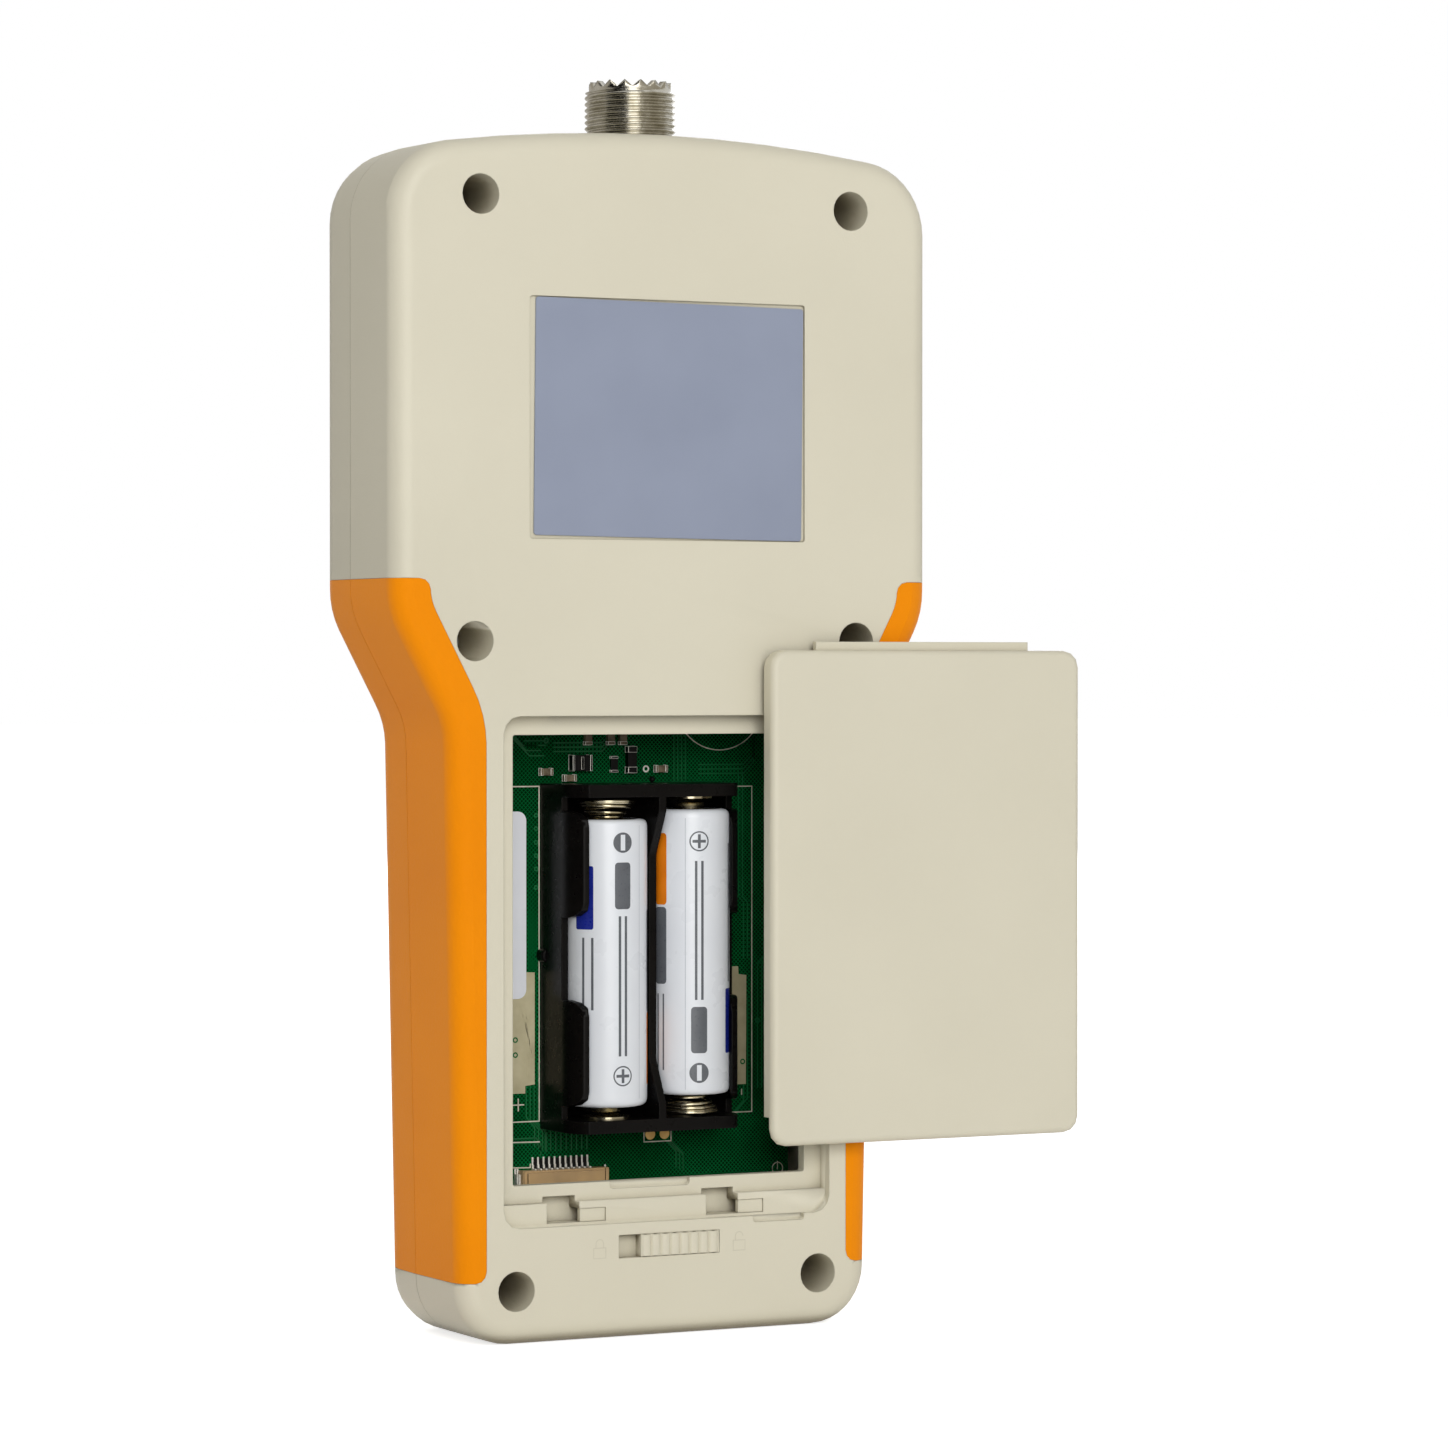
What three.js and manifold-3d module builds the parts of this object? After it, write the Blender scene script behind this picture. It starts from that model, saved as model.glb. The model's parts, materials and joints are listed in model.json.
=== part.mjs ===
// Handheld antenna analyzer with its battery cover lifted off, in millimetres.
// +Z runs up the case, the screen and keys face -Y, and the battery bay faces +Y.
// The origin is on the flat base, in the middle of the case's width.
import * as THREE from "three";
import { mergeVertices } from "three/addons/utils/BufferGeometryUtils.js";
import Module from "manifold-3d";

const wasm = await Module();
wasm.setup();

// Case
const caseHeight = 206;
const headWidth = 103;
const gripWidthAtBase = 78.4;
const gripFlare = 4.2;
const headHeight = 81.9;
const taperHeight = 19.2;
const baseCornerRadius = 10.3;
const waistRadius = 14;
const shoulderRadius = 16;
const crownCornerRadius = 13;
const crownRadius = 290;
const backY = 14;
const frontY = -19;
const partingY = -4;
const partingGap = 0.12;
const backEdgeRadius = 3.6;
const frontEdgeRadius = 7;
const backDraft = 0.2;
const frontDraft = 0.25;
const wall = 2.6;
const overrun = 1;
const weld = 0.4;

// Clearances
const seamGap = 0.12;
const fitGap = 0.3;
const slideGap = 0.2;
const seatGap = 0.05;

// Soft grips
const gripThickness = 1.2;
const gripBottom = 11;
const gripTopRise = 5.2;
const gripBackBand = 6.7;
const gripFrontBand = 9.6;
const gripCornerRadius = 2;

// Case screws and their posts
const postRadius = 5;
const wellRadius = 3.4;
const wellFloor = 3;
const screwHoleRadius = 1.8;
const pilotRadius = 1.6;
const screwHeadRadius = 2.8;
const screwHeadHeight = 2;
const screwShankRadius = 1.25;
const screwLength = 12;
const lowerPostInset = 10.3;
const lowerPostZ = 9.2;
const middlePostInset = 4.8;
const middlePostDrop = 5.2;
const upperPostInset = 16.1;
const upperPostDrop = 12.1;

// Battery bay
const bayMargin = 8;
const bayBottom = 19.75;
const bayHeight = 86.5;
const bayRadius = 3;
const bayFrame = 2;
const ledgeDepth = 3.4;
const ledgeThickness = 2.1;
const ledgeWidth = 3.2;
const bottomLedge = 6.9;
const shelfDepth = 1.6;
const shelfHeight = 3.9;
const shelfRadius = 1.2;
const fingerDipX = 2.05;
const fingerDipWidth = 15.3;
const fingerDipHeight = 1.3;
const fingerDipDepth = 0.9;
const thumbDipX = -21.2;
const thumbDipWidth = 10;
const thumbDipHeight = 1.1;
const thumbDipDepth = 1.3;

// Cover
const coverGapX = 0.3;
const coverGapZ = 0.5;
const coverEdgeRadius = 1.2;
const coverPlate = 1.9;
const coverDepth = 3.3;
const coverSkirt = 1.5;
const coverLipHeight = 5;
const coverLip = 1.45;
const tongueInset = 9.9;
const tongueThickness = 1.1;
const tongueReach = 1.5;
const tongueSetback = 1;
const hookReach = 3.1;
const hookStem = 2;
const toeThickness = 1.3;
const hookHeight = 1.7;
const coverAwayX = -48.3;
const coverAwayZ = 11.7;
const coverLift = 5;

// Latch
const latchSlotHeight = 3.95;
const latchSlotBottom = 13.8;
const latchThumbWidth = 14.9;
const latchTravel = 4;
const latchRibCount = 8;
const latchRibDepth = 0.4;
const latchRibShare = 0.36;
const grooveCentreShare = 0.5;
const latchPadDepth = 2.1;
const latchPadMargin = 0.25;
const latchPlateThickness = 1.2;
const latchPlateTop = 24.4;
const latchPlateBottom = 12.6;
const latchPlateLeft = 24;
const latchPlateRight = 21;
const guideMargin = 1.4;
const notchWidth = 6.1;
const notchHeight = 4.4;
const notchRise = 0.45;
const notchCentres = [19.42, -10.94];
const tabWidth = 4.6;
const tabHeight = 1.9;
const tabArm = 1;
const tabStem = 1.5;
const guideThickness = 1.1;
const guideLip = 1.3;

// Back label
const labelWidth = 51.2;
const labelHeight = 40.2;
const labelThickness = 0.3;
const labelMarginX = 0.7;
const labelMarginZ = 0.4;
const labelSeatDepth = 0.5;
const labelDrop = 49.3;
const labelRadius = 0.5;
const labelTilt = -0.6;
const labelShift = -0.3;

// Circuit board
const boardDepth = 19.6;
const boardThickness = 1.6;
const boardGripMargin = 5.7;
const boardHeadMargin = 5.5;
const boardBottom = 15.5;
const boardTopDrop = 20;
const boardPostGap = 1;
const boardCornerRadius = 1.5;
const boardTongueLeft = -3;
const boardTongueGap = 2.9;
const boardTongueBottom = 4.6;
const boardScrewInset = 10.5;
const boardScrewLowRise = 9.9;
const boardScrewHighDrop = 26;
const boardScrewHoleRadius = 1.4;
const boardScrewHeadRadius = 2.3;
const boardScrewHeadHeight = 1.7;
const boardScrewShankRadius = 1.05;
const boardScrewLength = 6;
const standoffRadius = 3;
const standoffPilotRadius = 1.35;

// Cells, holder and contacts
const cellRadius = 7.1;
const cellLength = 49.4;
const cellNubRadius = 2.75;
const cellNubHeight = 1.1;
const cellShoulder = 0.8;
const cellSpacing = 16;
const cellPairX = -1.3;
const cellAxisDepth = 11;
const holderWall = 1.2;
const holderEndWall = 2.2;
const holderBottom = 34.6;
const holderRise = 5.9;
const holderFlapAngle = 38;
const holderFlapLength = 18.2;
const holderFlapGap = 2.4;
const holderFlapRoundY = 3.4;
const holderFlapRoundZ = 2.7;
const holderDivider = 1.4;
const holderDividerDip = 3.9;
const holderDividerRadius = 2.8;
const holderDipShare = 0.166;
const contactRadius = 4.2;
const contactPlate = 0.4;
const contactBump = 0.4;
const contactBumpRadius = 2.2;

// Conical springs
const springWire = 0.6;
const springSpace = 3.8;
const springTurns = 3;
const springWideRadius = 5.4;
const springNarrowRadius = 2.6;
const springStepsPerTurn = 8;
const springSides = 5;

// Keypad
const keypadMargin = 9.2;
const keypadBottom = 17;
const keypadTopGap = 14.1;
const keypadRadius = 3;
const keypadPocketDepth = 2.2;
const keypadFloor = 1.4;
const keypadRim = 1.6;
const overlayThickness = 0.6;
const membraneThickness = 0.3;
const keyColumns = 3;
const keyRows = 6;
const keyBorderX = 4.2;
const keyBorderZ = 4.8;
const keyGapX = 4;
const keyGapZ = 4.8;
const keyRadiusShare = 0.23;
const keyFlange = 0.8;
const keyFlangeThickness = 0.6;
const keyProud = 1.3;
const keyCrownShare = 0.46;
const keyRollShare = 0.33;
const tailWidth = 13;
const tailThickness = 0.3;
const tailSlitWidth = 1.4;
const tailSlitRise = 2;
const tailBend = 1.4;
const tailTurnRoom = 2.8;
const tailBoardGap = 2.6;

// Keypad ribbon socket on the board
const ribbonSocketX = 10.5;
const ribbonSocketWidth = 18.5;
const ribbonSocketBottom = 23.2;
const ribbonSocketTall = 5.1;
const ribbonSocketHeight = 2.6;
const ribbonMouthDepth = 2.4;
const ribbonMouthHeight = 0.9;

// Display
const displayDrop = 53.9;
const windowMargin = 18.5;
const windowHeight = 50;
const windowThickness = 1.4;
const windowSeatDepth = 1.5;
const windowRim = 3;
const windowRadius = 3;
const moduleScrewGap = 2.5;
const moduleRise = 0.5;
const moduleThickness = 3.6;
const moduleGap = 0.3;
const carrierBand = 5;

// UHF socket
const socketDepth = 15.1;
const socketRadius = 7.85;
const socketBore = 5.95;
const socketInnerBore = 4.8;
const socketTipRise = 9.8;
const socketNeckRadius = 7.2;
const socketNeckHeight = 1.6;
const socketShoulder = 0.4;
const socketTeeth = 16;
const socketToothDepth = 1.35;
const socketFlangeX = 22;
const socketFlangeY = 18;
const socketFlangeThickness = 2.2;
const socketFlangeRadius = 1.5;
const socketTailRadius = 6.6;
const socketTailLength = 10.4;
const socketStepHeight = 2;
const insulatorDrop = 8.5;
const contactDrop = 1;
const contactOuterRadius = 2.6;
const contactBoreRadius = 2;
const contactBoreDepth = 8;
const contactPinRadius = 0.8;
const contactPinLength = 4.6;
const leadRadius = 0.5;
const leadDrop = 1.6;
const leadFoot = 3;
const leadBend = 1.5;
const trapRibThickness = 1.5;
const trapRibHalfWidth = 13;

// USB socket
const usbX = -12;
const usbWidth = 7.7;
const usbHeight = 3.9;
const usbLength = 9;
const usbInset = 0.9;
const usbShell = 0.4;
const usbMouthDepth = 5.5;
const usbTongueWidth = 5.2;
const usbTongueThickness = 1;
const usbWindowGap = 0.45;

// Shield can and beeper
const shieldWidth = 38;
const shieldHeight = 36;
const shieldDepth = 5.2;
const shieldFall = 10;
const shieldRadius = 1;
const beeperInset = 16.7;
const beeperDrop = 10.5;
const beeperRadius = 9;
const beeperDepth = 7.5;
const beeperHoleRadius = 1.2;
const beeperHoleDepth = 1.5;

// Facets
const cornerArcSteps = 9;
const bendSteps = 4;
const crownSteps = 4;
const edgeSteps = 4;
const hollowEdgeSteps = 2;
const cornerSteps = 3;
const roundSides = 24;
const hiddenSides = 14;
const keyCornerSteps = 2;
const fineSides = 40;
const mergeTolerance = 1e-4;

const quarterTurn = Math.PI / 2;
const fullTurn = Math.PI * 2;
const headHalfWidth = headWidth / 2;
const baseHalfWidth = gripWidthAtBase / 2;
const waistHalfWidth = (gripWidthAtBase + gripFlare) / 2;
const shoulderHeight = caseHeight - headHeight;
const waistHeight = shoulderHeight - taperHeight;
const gripTop = shoulderHeight + gripTopRise;
const bayWidth = gripWidthAtBase - 2 * bayMargin;
const tongueWidth = bayWidth - 2 * tongueInset;
const lowerPostX = baseHalfWidth - lowerPostInset;
const middlePostX = waistHalfWidth - middlePostInset;
const upperPostX = headHalfWidth - upperPostInset;
const middlePostZ = shoulderHeight - middlePostDrop;
const boardBackY = backY - boardDepth;
const boardFrontY = boardBackY - boardThickness;
const cellAxisY = backY - cellAxisDepth;
const bayCentreZ = bayBottom + bayHeight / 2;
const ledgeY = backY - ledgeDepth;
const frameUnderY = ledgeY - ledgeThickness;
const openingHalfWidth = bayWidth / 2 - ledgeWidth;
const openingBottom = bayBottom + bottomLedge;
const openingTop = bayBottom + bayHeight - ledgeWidth;
const socketY = backY - socketDepth;
const socketTipZ = caseHeight + socketTipRise;
const flangeTopZ = caseHeight - wall - fitGap * 2;
const displayZ = caseHeight - displayDrop;
const windowWidth = headWidth - 2 * windowMargin;
const keypadWidth = gripWidthAtBase - 2 * keypadMargin;
const keypadHeight = displayZ - windowHeight / 2 - keypadTopGap - keypadBottom;
const keyPitchX = (keypadWidth - keyBorderX) / keyColumns;
const keyPitchZ = (keypadHeight - keyBorderZ) / keyRows;
const keyWidth = keyPitchX - keyGapX;
const keyHeight = keyPitchZ - keyGapZ;
const keyRadius = keyHeight * keyRadiusShare;
const keyCrownInset = keyRadius * keyCrownShare;
const keypadCentreZ = keypadBottom + keypadHeight / 2;
const keypadFloorY = frontY + keypadPocketDepth;
const postPlaces = [
  ["lower_left", lowerPostX, lowerPostZ],
  ["lower_right", -lowerPostX, lowerPostZ],
  ["middle_left", middlePostX, middlePostZ],
  ["middle_right", -middlePostX, middlePostZ],
  ["upper_left", upperPostX, caseHeight - upperPostDrop],
  ["upper_right", -upperPostX, caseHeight - upperPostDrop],
];
const boardScrewX = headHalfWidth - boardScrewInset;
const moduleWidth = 2 * (boardScrewX - standoffRadius - moduleScrewGap);
const moduleHeight = windowHeight + 2 * moduleRise;
const boardScrewPlaces = [
  ["lower_left", boardScrewX, shoulderHeight + boardScrewLowRise],
  ["lower_right", -boardScrewX, shoulderHeight + boardScrewLowRise],
  ["upper_left", boardScrewX, caseHeight - boardScrewHighDrop],
  ["upper_right", -boardScrewX, caseHeight - boardScrewHighDrop],
];

// A closed geometry as a solid that can be joined and cut.
function solidOf(geometry) {
  const loose = geometry.index ? geometry.toNonIndexed() : geometry.clone();
  loose.deleteAttribute("normal");
  loose.deleteAttribute("uv");
  const shared = mergeVertices(loose, mergeTolerance);
  const corners = shared.index.array;
  const kept = [];
  for (let i = 0; i < corners.length; i += 3) {
    const [a, b, c] = corners.slice(i, i + 3);
    if (a !== b && b !== c && c !== a) kept.push(a, b, c);
  }
  const vertProperties = shared.attributes.position.array;
  const triVerts = new Uint32Array(kept);
  return new wasm.Manifold(new wasm.Mesh({ numProp: 3, vertProperties, triVerts }));
}

function geometryOf(solid) {
  const made = solid.getMesh();
  const geometry = new THREE.BufferGeometry();
  geometry.setAttribute("position", new THREE.BufferAttribute(made.vertProperties, 3));
  geometry.setIndex(new THREE.BufferAttribute(made.triVerts, 1));
  geometry.computeVertexNormals();
  return geometry;
}

function finish(color, roughness, metalness) {
  return new THREE.MeshStandardMaterial({ color, roughness, metalness });
}

const caseFinish = () => finish(0xd8d2bc, 0.55, 0);
const gripFinish = () => finish(0xf79805, 0.7, 0);
const labelFinish = () => finish(0x949cb2, 0.45, 0);
const boardFinish = () => finish(0x0a5a2d, 0.4, 0);
const holderFinish = () => finish(0x141414, 0.45, 0);
const cellFinish = () => finish(0xd4d8de, 0.3, 0);
const nickelFinish = () => finish(0xc9c4b4, 0.3, 1);
const steelFinish = () => finish(0xb8b8b4, 0.35, 1);
const socketPlasticFinish = () => finish(0xa58c64, 0.5, 0);
const darkPlasticFinish = () => finish(0x2a2c30, 0.5, 0);
const insulatorFinish = () => finish(0xe9e6dc, 0.4, 0);
const keyFinish = () => finish(0x5f6b80, 0.6, 0);
const overlayFinish = () => finish(0x39414f, 0.5, 0);
const filmFinish = () => finish(0xc8a860, 0.4, 0);
const windowFinish = () => finish(0x20262c, 0.08, 0);

const analyzer = new THREE.Group();

function place(name, solid, material, x = 0, y = 0, z = 0) {
  const mesh = new THREE.Mesh(geometryOf(solid), material);
  mesh.name = name;
  mesh.position.set(x, y, z);
  analyzer.add(mesh);
  return mesh;
}

function box(x0, x1, y0, y1, z0, z1) {
  const block = new THREE.BoxGeometry(x1 - x0, y1 - y0, z1 - z0);
  return solidOf(block.translate((x0 + x1) / 2, (y0 + y1) / 2, (z0 + z1) / 2));
}

// Points of a polygon whose corners [x, y, radius] are rounded with arcs.
function filleted(corners, steps = cornerSteps) {
  const points = [];
  corners.forEach(([x, y, radius], i) => {
    const at = new THREE.Vector2(x, y);
    if (!radius) {
      points.push(at);
      return;
    }
    const before = corners[(i + corners.length - 1) % corners.length];
    const after = corners[(i + 1) % corners.length];
    const back = new THREE.Vector2(before[0], before[1]).sub(at).normalize();
    const on = new THREE.Vector2(after[0], after[1]).sub(at).normalize();
    const half = Math.acos(back.dot(on)) / 2;
    const start = at.clone().addScaledVector(back, radius / Math.tan(half));
    const towards = back.clone().add(on).normalize();
    const centre = at.clone().addScaledVector(towards, radius / Math.sin(half));
    const swept = Math.sign(back.cross(on)) * (2 * half - Math.PI);
    for (let step = 0; step <= steps; step++) {
      points.push(start.clone().rotateAround(centre, (swept * step) / steps));
    }
  });
  return points;
}

function roundedRectangle(x0, x1, y0, y1, radius, steps = cornerSteps) {
  const corners = [
    [x0, y0, radius],
    [x1, y0, radius],
    [x1, y1, radius],
    [x0, y1, radius],
  ];
  return filleted(corners, steps);
}

function extruded(points, length) {
  const shape = new THREE.Shape(points);
  return new THREE.ExtrudeGeometry(shape, { depth: length, bevelEnabled: false });
}

// An outline in X and Z, drawn out along Y.
function prismY(points, y0, y1) {
  return solidOf(extruded(points, y1 - y0).rotateX(quarterTurn).translate(0, y1, 0));
}

// An outline in X and Y, drawn out along Z.
function prismZ(points, z0, z1) {
  return solidOf(extruded(points, z1 - z0).translate(0, 0, z0));
}

// An outline in Y and Z, drawn out along X.
function prismX(points, x0, x1) {
  const turn = new THREE.Matrix4().makeBasis(
    new THREE.Vector3(0, 1, 0),
    new THREE.Vector3(0, 0, 1),
    new THREE.Vector3(1, 0, 0),
  );
  return solidOf(extruded(points, x1 - x0).applyMatrix4(turn).translate(x0, 0, 0));
}

function rodY(radius, y0, y1, x, z, sides = roundSides) {
  const rod = new THREE.CylinderGeometry(radius, radius, y1 - y0, sides);
  return solidOf(rod.translate(x, (y0 + y1) / 2, z));
}

function rodZ(radius, z0, z1, x, y, sides = roundSides) {
  const rod = new THREE.CylinderGeometry(radius, radius, z1 - z0, sides);
  return solidOf(rod.rotateX(quarterTurn).translate(x, y, (z0 + z1) / 2));
}

// A profile of [radius, height] pairs turned about +Z.
function turnedZ(profile, sides = roundSides) {
  const points = profile.map(([radius, height]) => new THREE.Vector2(radius, height));
  return solidOf(new THREE.LatheGeometry(points, sides).rotateX(quarterTurn));
}

// Closed rings of equal count, joined in order of rising Y and capped flat.
function loft(rings) {
  const count = rings[0].length;
  const positions = rings.flat().flatMap((point) => [point.x, point.y, point.z]);
  const index = [];
  for (let r = 0; r + 1 < rings.length; r++) {
    for (let k = 0; k < count; k++) {
      const a = r * count + k;
      const b = r * count + ((k + 1) % count);
      index.push(a, b + count, b, a, a + count, b + count);
    }
  }
  const last = (rings.length - 1) * count;
  const flat = (ring) => ring.map((point) => new THREE.Vector2(point.x, point.z));
  for (const [a, b, c] of THREE.ShapeUtils.triangulateShape(flat(rings[0]), [])) {
    index.push(a, b, c);
  }
  for (const [a, b, c] of THREE.ShapeUtils.triangulateShape(flat(rings.at(-1)), [])) {
    index.push(last + a, last + c, last + b);
  }
  const geometry = new THREE.BufferGeometry();
  geometry.setAttribute("position", new THREE.Float32BufferAttribute(positions, 3));
  geometry.setIndex(index);
  return solidOf(geometry);
}

// Points of the case's outline with their outward normals, on its right half from the base up.
function halfOutline() {
  const samples = [];
  const gripLean = Math.atan2(waistHalfWidth - baseHalfWidth, waistHeight);
  const shoulderLean = Math.atan2(headHalfWidth - waistHalfWidth, taperHeight);
  const sweep = (cx, cz, radius, from, to, steps) => {
    for (let step = 0; step <= steps; step++) {
      const angle = from + ((to - from) * step) / steps;
      const nx = Math.cos(angle);
      const nz = Math.sin(angle);
      samples.push({ x: cx + radius * nx, z: cz + radius * nz, nx, nz });
    }
  };
  // The centre lies on the inner side of a bulging corner and on the outer side of a hollow one.
  const corner = (x, z, radius, from, to, bulge, steps) => {
    const shared = 1 + Math.cos(to - from);
    const cx = x - (bulge * radius * (Math.cos(from) + Math.cos(to))) / shared;
    const cz = z - (bulge * radius * (Math.sin(from) + Math.sin(to))) / shared;
    sweep(cx, cz, bulge * radius, from, to, steps);
  };
  corner(baseHalfWidth, 0, baseCornerRadius, -quarterTurn, -gripLean, 1, cornerArcSteps);
  corner(waistHalfWidth, waistHeight, waistRadius, -gripLean, -shoulderLean, -1, bendSteps);
  corner(headHalfWidth, shoulderHeight, shoulderRadius, -shoulderLean, 0, 1, bendSteps);
  const crownCentreZ = caseHeight - crownRadius;
  const cornerX = headHalfWidth - crownCornerRadius;
  const cornerZ = crownCentreZ + Math.sqrt((crownRadius - crownCornerRadius) ** 2 - cornerX ** 2);
  const tangent = Math.atan2(cornerZ - crownCentreZ, cornerX);
  sweep(cornerX, cornerZ, crownCornerRadius, 0, tangent, cornerArcSteps);
  samples.pop();
  sweep(0, crownCentreZ, crownRadius, tangent, quarterTurn, crownSteps);
  return samples;
}

const rightOutline = halfOutline();
const leftOutline = rightOutline
  .slice(0, -1)
  .reverse()
  .map(({ x, z, nx, nz }) => ({ x: -x, z, nx: -nx, nz }));
const caseOutline = [...rightOutline, ...leftOutline];

// The draft fades out round the base corners, so that the case stands flat.
function caseRing(roll, draft, y) {
  return caseOutline.map(({ x, z, nx, nz }) => {
    const inset = roll + draft * Math.min(1, 1 + nz);
    return new THREE.Vector3(x - inset * nx, y, z - inset * nz);
  });
}

// The rear half of the case, its surface moved inwards by a skin, from a given depth to the back.
function rearHalf(skin, fromY) {
  const rings = [caseRing(skin, 0, fromY)];
  const turn = backEdgeRadius - skin;
  const steps = skin ? hollowEdgeSteps : edgeSteps;
  for (let step = 0; step <= steps; step++) {
    const angle = (quarterTurn * step) / steps;
    const roll = backEdgeRadius - turn * Math.cos(angle);
    rings.push(caseRing(roll, backDraft, backY - backEdgeRadius + turn * Math.sin(angle)));
  }
  return loft(rings);
}

// The front half, from its face to a given depth.
function frontHalf(skin, toY) {
  const rings = [];
  const turn = frontEdgeRadius - skin;
  const steps = skin ? hollowEdgeSteps : edgeSteps;
  for (let step = 0; step <= steps; step++) {
    const angle = quarterTurn * (1 - step / steps);
    const roll = frontEdgeRadius - turn * Math.cos(angle);
    rings.push(caseRing(roll, frontDraft, frontY + frontEdgeRadius - turn * Math.sin(angle)));
  }
  rings.push(caseRing(skin, 0, toY));
  return loft(rings);
}

const rearStartY = partingY + partingGap / 2;
const frontEndY = partingY - partingGap / 2;

// The side band that a grip covers: the outline moved in by a band, between two heights.
function gripBand(side, band, spread, y0, y1) {
  const low = gripBottom - spread;
  const high = gripTop + spread;
  const inset = band + spread;
  const edge = rightOutline
    .map(({ x, z, nx, nz }) => [x - inset * nx, z - inset * nz])
    .filter(([, z]) => z > low + gripCornerRadius && z < high - gripCornerRadius);
  const outside = headHalfWidth + overrun;
  const corners = [[outside, low, 0], [edge[0][0], low, gripCornerRadius]];
  edge.forEach(([x, z]) => corners.push([x, z, 0]));
  corners.push([edge.at(-1)[0], high, gripCornerRadius], [outside, high, 0]);
  const points = filleted(corners).map((point) => new THREE.Vector2(point.x * side, point.y));
  return prismY(points, y0, y1);
}

function buildGrips(side, word) {
  const rearSkin = rearHalf(0, rearStartY).subtract(rearHalf(gripThickness, rearStartY - overrun));
  const rearBand = gripBand(side, gripBackBand, 0, rearStartY - overrun, backY + overrun);
  place("rear_grip_" + word, rearSkin.intersect(rearBand), gripFinish());
  const frontSkin = frontHalf(0, frontEndY).subtract(frontHalf(gripThickness, frontEndY + overrun));
  const frontBand = gripBand(side, gripFrontBand, 0, frontY - overrun, frontEndY + overrun);
  place("front_grip_" + word, frontSkin.intersect(frontBand), gripFinish());
}

// The space that a grip and its seam gap take out of a half of the case.
function rearGripSeat(side) {
  const under = rearHalf(gripThickness + fitGap, rearStartY - overrun);
  const band = gripBand(side, gripBackBand, seamGap, rearStartY - overrun, backY + overrun);
  return band.subtract(under);
}

function frontGripSeat(side) {
  const under = frontHalf(gripThickness + fitGap, frontEndY + overrun);
  const band = gripBand(side, gripFrontBand, seamGap, frontY - overrun, frontEndY + overrun);
  return band.subtract(under);
}

function bayBlock() {
  const half = bayWidth / 2 + bayFrame;
  const low = bayBottom - bayFrame;
  const high = bayBottom + bayHeight + bayFrame;
  const outline = roundedRectangle(-half, half, low, high, bayRadius + bayFrame);
  return prismY(outline, frameUnderY, backY - wall + weld);
}

// The recess for the cover, the shelf at its foot, the opening and the slot for the cover's tongue.
function bayCuts() {
  const half = bayWidth / 2;
  const top = bayBottom + bayHeight;
  const past = backY + overrun;
  const recess = roundedRectangle(-half, half, bayBottom, top, bayRadius);
  const shelfEdge = bayBottom + shelfHeight;
  const upper = prismY(recess, ledgeY, past).subtract(
    box(-half - overrun, half + overrun, ledgeY - overrun, past, bayBottom - overrun, shelfEdge),
  );
  const lower = prismY(recess, backY - shelfDepth, past);
  const opening = roundedRectangle(-openingHalfWidth, openingHalfWidth, openingBottom, openingTop, weld);
  const through = prismY(opening, frameUnderY - overrun, past);
  const slot = box(
    -tongueWidth / 2 - fitGap,
    tongueWidth / 2 + fitGap,
    ledgeY,
    ledgeY + tongueThickness + fitGap * 2,
    top - overrun,
    top + tongueReach - coverGapZ + fitGap,
  );
  return upper.add(lower).add(through).add(slot).add(bayDips());
}

function bayDips() {
  const finger = roundedRectangle(
    fingerDipX - fingerDipWidth / 2,
    fingerDipX + fingerDipWidth / 2,
    openingBottom - fingerDipHeight,
    openingBottom + overrun,
    fingerDipHeight / 2,
  );
  const thumb = roundedRectangle(
    thumbDipX - thumbDipWidth / 2,
    thumbDipX + thumbDipWidth / 2,
    bayBottom - thumbDipHeight,
    bayBottom + thumbDipHeight,
    thumbDipHeight / 2,
  );
  return prismY(finger, ledgeY - fingerDipDepth, backY + overrun).add(
    prismY(thumb, backY - thumbDipDepth, backY + overrun),
  );
}

const latchThumbRestX = -latchTravel / 2;
const latchSlotHalf = (latchThumbWidth + latchTravel) / 2 + slideGap;
const latchPadTopY = backY - latchPadDepth;
const latchPadHigh = bayBottom - bayFrame - fitGap;
const latchPadReach = latchSlotHalf + latchTravel / 2 + latchPadMargin;
const notchBottom = bayBottom + notchRise;
const tabRestX = notchCentres.map((centre) => centre - notchWidth / 2 - slideGap - tabWidth / 2);

function latchCuts() {
  const slot = box(
    -latchSlotHalf,
    latchSlotHalf,
    frameUnderY,
    backY + overrun,
    latchSlotBottom,
    latchSlotBottom + latchSlotHeight,
  );
  const padHalf = latchPadReach + latchTravel / 2 + slideGap;
  const padRoom = box(
    -padHalf,
    padHalf,
    frameUnderY,
    latchPadTopY + fitGap,
    latchPlateBottom - fitGap,
    bayBottom - bayFrame,
  );
  return notchCentres.reduce((cuts, centre, i) => {
    const left = centre + notchWidth / 2;
    const notch = box(
      centre - notchWidth / 2,
      left,
      frameUnderY - overrun,
      backY - fitGap,
      notchBottom,
      notchBottom + notchHeight,
    );
    const tabSlot = box(
      tabRestX[i] - tabWidth / 2 - slideGap,
      left,
      frameUnderY - overrun,
      backY - fitGap,
      notchBottom,
      notchBottom + tabHeight + slideGap * 2,
    );
    return cuts.add(notch).add(tabSlot);
  }, slot.add(padRoom));
}

const latchPlateTopY = frameUnderY - fitGap;
const latchPlateUnderY = latchPlateTopY - latchPlateThickness;

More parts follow.
